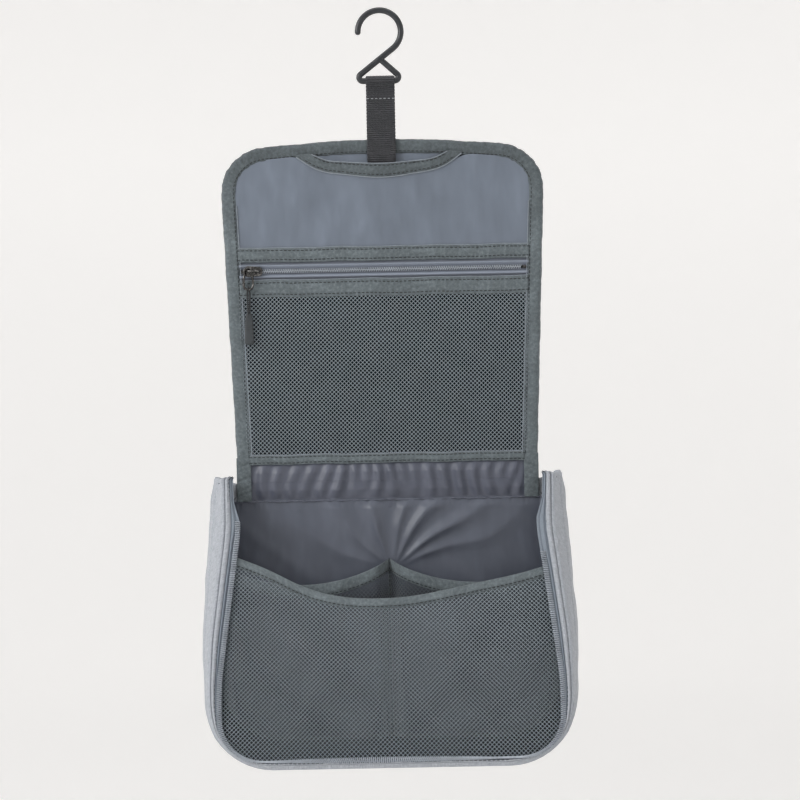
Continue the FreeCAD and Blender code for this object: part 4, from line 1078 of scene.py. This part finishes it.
def below_top(z):
    """0 at the sides' top and 1 from a little below it."""
    return part((RIM_TOP - z) / 9)


def wall_front(count):
    """The seam at the front of the sides and the bottom, where the rim's facing starts."""
    path = resample(side_path(0.0, RIM_TOP + TUCK_RISE, TUCK), count)
    z = path[:, 1]
    drawn = drawn_in(path, -(FLARE * up_side(z) * below_top(z))[:, None])[:, 0]
    return at_depth(drawn, rim_y(z) + RECESS_LOW + (RECESS - RECESS_LOW) * up_side(z))


def make_gusset():
    """The sides and the bottom: foam-backed shell that bulges between its back and front seams."""
    # the path runs down the left side, so its right-hand normal points out of the pouch
    path = resample(side_path(0.0, RIM_TOP + TUCK_RISE, TUCK), 320)
    z = path[:, 1, None]
    along = travelled(path)[:, None]
    share = np.linspace(0, 1, 44)
    on_side = up_side(z)
    bulge = arched(share, 0, 0.6) * (1.2 + 2.6 * on_side) - FLARE * on_side
    near_top = np.exp(-((RIM_TOP - z) / 26.0))
    folds = ripple(share * 60 + along * 0.12, 19, 2) * (0.4 + 0.6 * near_top) * on_side
    folds = folds + 0.5 * ripple(along + 9 * share, 46, 5)
    out = bulge * below_top(z) + folds * arched(share, 0, 0.5)
    recess = RECESS_LOW + (RECESS - RECESS_LOW) * on_side
    depth = SHELL_Y + (rim_y(z) + recess - SHELL_Y) * share
    layers = [at_depth(drawn_in(path, out * follow - offset), depth)
              for offset, follow in ((0.0, 1), (3.4, 0.6))]
    wall = layered("gusset_wall", *layers, "shell")
    put(wall, "pouch", "shell_fabric", "gusset_shell", "gusset_foam")

    inner = resample(side_path(3.75, RIM_TOP + TUCK_RISE, TUCK - 3), 260)
    z = inner[:, 1, None]
    share = np.linspace(0, 1, 26)
    depth = LINING_Y + (rim_y(z) + 0.6 + (RECESS - 0.8) * up_side(z) - LINING_Y) * share
    grid = at_depth(drawn_in(inner, -0.25 * ripple(z + share * 30, 21, 4)), depth)
    outside = grid - 0.35 * at_depth(inward(inner), 0.0)[:, None]
    lining = layered("gusset_lining_cloth", outside, grid, "shaded")
    put(lining, "pouch", "lining_satin", "gusset_lining")


# the creases that fan out from the pockets' middle seam: direction in degrees, width, height
CREASES = [(-68, 9, 1.6), (-44, 8, 2.4), (-17, 7, 3.2), (12, 6, 3.0), (30, 7, 4.2), (52, 6, 4.0),
           (68, 6, 2.6)]


def make_back():
    """The padded back panel and its satin lining, drawn towards the pockets' middle seam."""
    top = BACK_TOP - 0.2
    patch = coons(side_path(0.4, top), 90, 60)
    rear = at_depth(patch, lambda x, z: SHELL_Y + crown(x, z, 122, POUCH_LOW, top, 1.3)
                    + 0.25 * ripple(x + z * 0.6, 52, 2))
    panel = layered("back_panel", rear, at_depth(patch, FOAM_Y + 0.1), "shell")
    put(panel, "pouch", "shell_fabric", "back_shell", "back_foam")

    def depth(x, z):
        dx, dz = x - 2.0, z - POCKET_PEAK + 6
        reach = np.hypot(dx, dz)
        swing = np.degrees(np.arctan2(dx, np.maximum(dz, 0.5))) + 3.5 * np.sin(reach * 0.07)
        fan = sum(high * np.exp(-np.abs((swing - at) / wide) ** 1.5) for at, wide, high in CREASES)
        fade = part(reach / 34) ** 1.2 * hump(np.maximum(reach, 34), 34, 70.0)
        fade = fade * part((dz + 4) / 14) * part((top - z) / 6, 0.15)
        pinch = np.abs(ripple(x, 8.5, 3)) * 0.6 * part((z - top + 9) / 9)
        waves = 1.1 * fan * fade + 0.35 * (ripple(x * 0.7 + z, 40, 6) + 1)
        return LINING_Y + 0.1 - waves - pinch

    grid = at_depth(coons(side_path(3.8, top), 220, 150), depth)
    lining = sheet_of("back_lining_cloth", grid, 0.35, "back_lining")
    put(lining, "pouch", "lining_satin", "back_lining")
    # the seam at the top of the lining: a narrow rolled edge
    x = np.linspace(-SIDE[0] + 12, SIDE[0] - 12, 200)
    roll = space(x, LINING_Y - 0.9 - 0.5 * ripple(x, 9, 4),
                 top - 0.8 + 0.3 * ripple(x, 22, 9) + 0.35 * ripple(x, 6, 5))
    put(cord_mesh("back_seam_roll", roll, 0.45, "lining"), "pouch", "lining_satin")


def make_ear(side, name):
    """Beside the strip the back's shell reaches the side's top, and lining, painted dark as shade,
    closes the corner.
    """
    x = np.linspace(LID_LOW_HALF + 1.0, SIDE[0] - 1.6, 14)[:, None]
    z = np.linspace(BACK_TOP - 9, RIM_TOP + 2.5, 16)
    slope = 3.5 * (1 - (x - x[0]) / (x[-1] - x[0])) * (z > BACK_TOP + 3)
    layers = [space(side * x, y + 0.25 * ripple(x + 0.7 * z, 15, 4), z - slope)
              for y in (SHELL_Y - 0.1, SHELL_Y - 3.6)]
    put(layered(f"back_ear_{name}", *layers, "shell"), "pouch", "shell_fabric")
    y = np.linspace(SHELL_Y - 1.5, RIM_FRONT + 2.5, 14)
    u = np.linspace(0, 1, 12)[:, None]
    out = SIDE[0] - 3.5
    grid = space(side * (out - (out - LID_LOW_HALF - 0.7) * u ** 0.8), y,
                 RIM_TOP + 0.5 - 22 * u ** 1.3 + 0.5 * ripple(y + 6 * u, 9, 3))
    put(sheet_of(f"corner_web_{name}", grid, 0.5, "shaded", (side, 0, 0)), "pouch", "lining_satin")


def make_rim():
    """The facing that turns to the front, the zip's tape and its open coil."""
    outer, inner = rim_path(0.0), rim_path(1.0)
    along = travelled(outer)[:, None]
    v = outer[:, 1, None]
    slim = part((v - v.min()) / 45, 0.3)
    side = part((v - v.min()) / 50)

    u = np.linspace(0, 1, 40)
    flat = between(outer, inner, np.linspace(-0.03, 0.63, 40))
    fall = part((0.62 - u) / 0.62) ** 1.8 * (1.6 + (RECESS - RECESS_LOW) * side)
    wall = 0.5 * arched(u / 0.66, 0, 1) * slim
    welt = 1.5 * arched((u - 0.68) / 0.32, 0, 0.6) * slim
    folds = 0.6 * part(np.exp(v / 24.0)) * ripple(u * 26 + along * 0.06, 9, 2)
    uneven = 0.3 * ripple(along + 14 * u, 41, 3)
    lift = 0.5 + wall + welt - fall - 0.9 * hump(u, 0.67, 0.03) + uneven + folds
    seam = wall_front(len(outer))[:, None]
    turn = (np.sin(part(u / 0.45) * math.pi / 2) ** 2)[:, None]
    layers = [seam * (1 - turn) + on_rim(flat[..., 0], flat[..., 1], lift - deep) * turn
              for deep in (0.0, 1.0)]
    layers[1][:, 0, 1] += 0.4
    put(layered("rim_facing_cloth", *layers, "shell"), "pouch", "shell_fabric", "rim_facing")

    # the tape narrows above its last tooth and again near its end
    teeth_top = np.where(outer[:, 0, None] < 0, -28, -54)
    whole, ending = part((v - teeth_top + 14) / 12), part((v + 26) / 14)
    u = np.linspace(0, 1, 21)
    flat = between(outer, inner, 0.61 + (0.27 + 0.12 * whole - 0.19 * ending) * u)
    ridge = 1.2 * hump(u, 0.36, 0.17) - 0.5 * hump(u, 0.66, 0.08)
    lift = ridge * (0.45 + 0.55 * slim) + 0.12 * ripple(along, 33, 8)
    layers = [on_rim(flat[..., 0], flat[..., 1], lift - deep) for deep in (0.0, 0.5)]
    tape = layered("main_zip_pouch_tape", *layers, "zip_tape")
    put(tape, "pouch", "zip_tape", "main_zip_tape_pouch")

    sewn = outer * 0.40 + inner * 0.60
    put(stitches("rim_stitches", on_rim(sewn[:, 0], sewn[:, 1], 0.75), RIM_UP), "pouch", "zip_tape")
    teeth = outer * 0.09 + inner * 0.91
    keep = teeth[:, 1] < teeth_top[:, 0]
    toward = on_rim(inner[:, 0], inner[:, 1], 1.0) - on_rim(outer[:, 0], outer[:, 1], 1.0)
    coil = open_teeth("main_zip_pouch_teeth", on_rim(teeth[:, 0], teeth[:, 1], 1.0)[keep],
                      toward[keep], RIM_UP, 1.3, 1.9)
    put(coil, "pouch", "zip_coil", "main_zip_coil_pouch")


def front_edge_v(x):
    """The top edge of the front net, down the rim's slope, at a distance across."""
    line = np.array(FRONT_EDGE, float)
    near = x[..., None] + np.linspace(-12, 12, 9)
    return np.interp(near, line[:, 0], line[:, 1]).mean(axis=-1)


def on_front(x, v, lift=0.0):
    """On the front net: behind the rim's plane at its edges, fuller in the middle."""
    down = part(-v / ((RIM_TOP - POUCH_LOW) / math.cos(RIM_SLOPE)))
    across = part(1 - (np.abs(x) / 112) ** 3)
    belly = across * arched((down - 0.25) / 0.75, 0, 0.8)
    return on_rim(x, v, 4.0 * belly - 1.6 - 2.2 * across * hump(down, 0.42, 0.12)
                  + 0.4 * ripple(x + v * 0.3, 63, 4) * across + lift)


def make_front_net():
    inside_rim = within(rim_path(0.9, 200))

    def inside(x, v):
        return inside_rim(x, v) & (v < front_edge_v(x) - FRONT_BAND + 2.5)

    piece = net("front_net", (-118, 118), (-205, -40), inside, on_front, hole=0.81)
    put(piece, "pouch", "net", "front_mesh")

    x = np.linspace(-MOUTH[0] + 0.4, MOUTH[0] - 0.4, 240)[:, None]
    t = np.linspace(0, 1, 15)
    edge = front_edge_v(x)
    v = edge - FRONT_BAND * t
    x = np.broadcast_to(x, v.shape)
    lift = 0.35 + 0.75 * arched(t, 0.03, 0.45) - 0.3 * hump(t, 0.84, 0.07) + 0.14 * ripple(x, 17, 3)
    tape = layered("front_net_binding", on_front(x, v, lift), on_front(x, v, -0.35), "binding")
    put(tape, "pouch", "binding_tape", "front_mesh_binding")
    line = on_front(x[:, 0], edge[:, 0] - FRONT_BAND * 0.84, 0.95)
    put(stitches("front_net_stitches", line, RIM_UP), "pouch", "binding_tape")


def make_inner_pocket(side, name):
    """A net from the middle seam, forward, along and back to the side, with a band at its top."""
    reach = 119.0
    front, out = LINING_Y - 0.8, LINING_Y - POCKET_DEPTH
    plan = resample(round_path([(side * 0.4, front, 0), (side * 9, out, 9),
                                (side * (reach - 12), out, 14), (side * reach, front, 0)]), 400)
    length = travelled(plan)
    high = POCKET_PEAK + 2
    edge = round_path([(0, high, 0), (54, high - 27, 120), (125, high, 0)])
    pouch_inside = within(side_path(4.8, RIM_TOP))

    def across(u):
        return np.interp(u, length, plan[:, 0])

    def top_of(u):
        return np.interp(np.abs(across(u)), edge[:, 0], edge[:, 1])

    def surface(u, z, forward=0.0):
        middle = arched(u / length[-1], 0, 1)
        slack = 1.5 * arched((POCKET_PEAK - z) / 110, 0, 1) * middle
        y = np.interp(u, length, plan[:, 1]) + 0.9 * ripple(u + z * 0.4, 37, 5 + side) * middle
        return space(across(u), y - slack - forward, z)

    def inside(u, z):
        low_enough = z < top_of(u) - POCKET_BAND + 2.5
        return (u > 1) & (u < length[-1] - 1) & low_enough & pouch_inside(across(u), z)

    piece = net(f"inner_net_{name}", (0, length[-1]), (POUCH_LOW + 3, POCKET_PEAK), inside,
                surface, material="shaded_net")
    put(piece, "pouch", "net", f"inner_pocket_{name}")

    u = np.linspace(0.3, length[-1] - 0.3, 190)[:, None]
    t = np.linspace(0, 1, 15)
    z = top_of(u) - POCKET_BAND * t
    line = surface(u[:, 0], top_of(u[:, 0]) - POCKET_BAND * 0.86, 1.0)
    u = np.broadcast_to(u, z.shape)
    lift = 0.2 + 0.8 * arched(t, 0.03, 0.4) - 0.3 * hump(t, 0.86, 0.06)
    lift = lift + 0.15 * ripple(u, 19, side + 3)
    tape = layered(f"inner_binding_{name}", surface(u, z, lift), surface(u, z, -0.4), "binding")
    put(tape, "pouch", "binding_tape", f"inner_pocket_binding_{name}")
    put(stitches(f"inner_stitches_{name}", line), "pouch", "binding_tape")


def make_divider():
    """The seam that sews the two inner pockets to the back."""
    z = np.linspace(POCKET_PEAK + 1.5, POUCH_LOW + 12, 120)
    line = space(0.25 * ripple(z, 40, 3), LINING_Y - 1.2, z)
    put(cord_mesh("divider_seam", line, 0.9, "binding"), "pouch", "binding_tape")
    put(stitches("divider_stitches", line - [0, 0.85, 0]), "pouch", "binding_tape")


# ------------------------------------------------------------------ stage, light and camera
# metres from here on
ROOM_RADIUS, ROOM_COVE, ROOM_HIGH, ROOM_SIDES = 3.6, 1.2, 4.0, 96
ROOM_GLOW = (0.04, 0.35)                        # at the room's front and at its back,
ROOM_GLOW_AT = (-3600, 2600)                    # which are here, in millimetres
LIGHTS = (("key", (-1.75, -1.2, 0.7), (1.0, 1.0), 27),          # place, size and watts
          ("fill", (1.5, -1.5, 0.0), (1.4, 1.4), 2.5),
          ("top", (0, -0.3, 1.1), (1.6, 1.0), 9))
LIGHTS_AIM = (0, 0, -0.3)
WORLD_STRENGTH = 0.1
EYE_DISTANCE, VIEW_WIDTH, SENSOR_WIDTH = 1.290, 0.560, 36.0     # the sensor in millimetres
EYE_X, EYE_Z, LEAN_DEGREES = 0.0096, -0.2704, 1.1


def make_stage():
    """A round pale room: the floor runs up into the wall, the same from every side."""
    ground = cad_bounds[0][2] - 0.32
    profile = [(0.02, ground), (ROOM_RADIUS - ROOM_COVE, ground)]
    profile += [(ROOM_RADIUS - ROOM_COVE + ROOM_COVE * math.sin(angle),
                 ground + ROOM_COVE - ROOM_COVE * math.cos(angle))
                for angle in np.linspace(0.1, math.pi / 2, 14)]
    profile.append((ROOM_RADIUS, ROOM_HIGH))
    points = [(r * math.cos(a), r * math.sin(a), z) for r, z in profile
              for a in round_angles(ROOM_SIDES)]
    mesh = bpy.data.meshes.new("studio_room")
    mesh.from_pydata(points, [], tube(len(profile), ROOM_SIDES) + [list(range(ROOM_SIDES))])
    mesh.polygons.foreach_set("use_smooth", [True] * len(mesh.polygons))
    pale = Shader("studio_paper", Roughness=0.9, Base_Color=linear(240, 239, 238),
                  Emission_Color=linear(240, 239, 238))
    glow = pale.span(pale.axis(pale.object_place(), 1), *ROOM_GLOW, *ROOM_GLOW_AT)
    pale.tree.links.new(glow, pale.surface.inputs["Emission Strength"])
    mesh.materials.append(pale.material)
    room = bpy.data.objects.new("studio_room", mesh)
    bpy.context.scene.collection.objects.link(room)


def make_lights():
    for name, place, size, power in LIGHTS:
        light = bpy.data.lights.new(name, "AREA")
        light.shape = "RECTANGLE"
        light.size, light.size_y = size
        light.energy = power
        lamp = bpy.data.objects.new(name, light)
        lamp.location = place
        aim = Vector(LIGHTS_AIM) - Vector(place)
        lamp.rotation_euler = aim.to_track_quat("-Z", "Y").to_euler()
        bpy.context.scene.collection.objects.link(lamp)
    world = bpy.context.scene.world or bpy.data.worlds.new("studio")
    bpy.context.scene.world = world
    world.use_nodes = True
    sky = world.node_tree.nodes["Background"]
    sky.inputs[0].default_value = linear(240, 240, 240)
    sky.inputs[1].default_value = WORLD_STRENGTH


def make_camera():
    """Level with the lid's foot, in front of it, turned by the degree that the bag leans."""
    camera = bpy.data.cameras.new("view")
    camera.sensor_width = SENSOR_WIDTH
    camera.lens = SENSOR_WIDTH * EYE_DISTANCE / VIEW_WIDTH
    eye = bpy.data.objects.new("view", camera)
    eye.location = (EYE_X, LINING_Y * MM - EYE_DISTANCE, EYE_Z)
    eye.rotation_euler = (math.radians(90), 0, 0)
    eye.rotation_euler.rotate_axis("Z", -math.radians(LEAN_DEGREES))
    bpy.context.scene.collection.objects.link(eye)
    bpy.context.scene.camera = eye


bpy.context.scene.view_settings.view_transform = "Standard"
dress("hook", "plastic")
for node in ("pocket_zip_stops", "main_slider_left", "main_slider_right",
             "main_puller_left", "main_puller_right"):
    dress(node, "metal")
make_strap()
make_strap_end()
make_lid_board()
make_lid_lining()
make_lid_binding()
make_strap_pocket()
make_band("pocket_band_upper", PANEL_LOW, ZIP_TOP, "pocket_upper_band", 2)
make_band("pocket_band_lower", ZIP_LOW, NET_TOP, "pocket_lower_band", 5)
make_band("net_band_low", NET_LOW, LID_LOW, "mesh_bottom_band", 8, (0.2, 0.8))
make_pocket_zip()
make_lid_net()
make_lid_zip()
make_slider()
make_pull()
make_strip()
make_gusset()
make_back()
make_ear(-1, "left")
make_ear(1, "right")
make_rim()
make_front_net()
make_inner_pocket(-1, "left")
make_inner_pocket(1, "right")
make_divider()
make_stage()
make_lights()
make_camera()
bpy.context.view_layer.update()
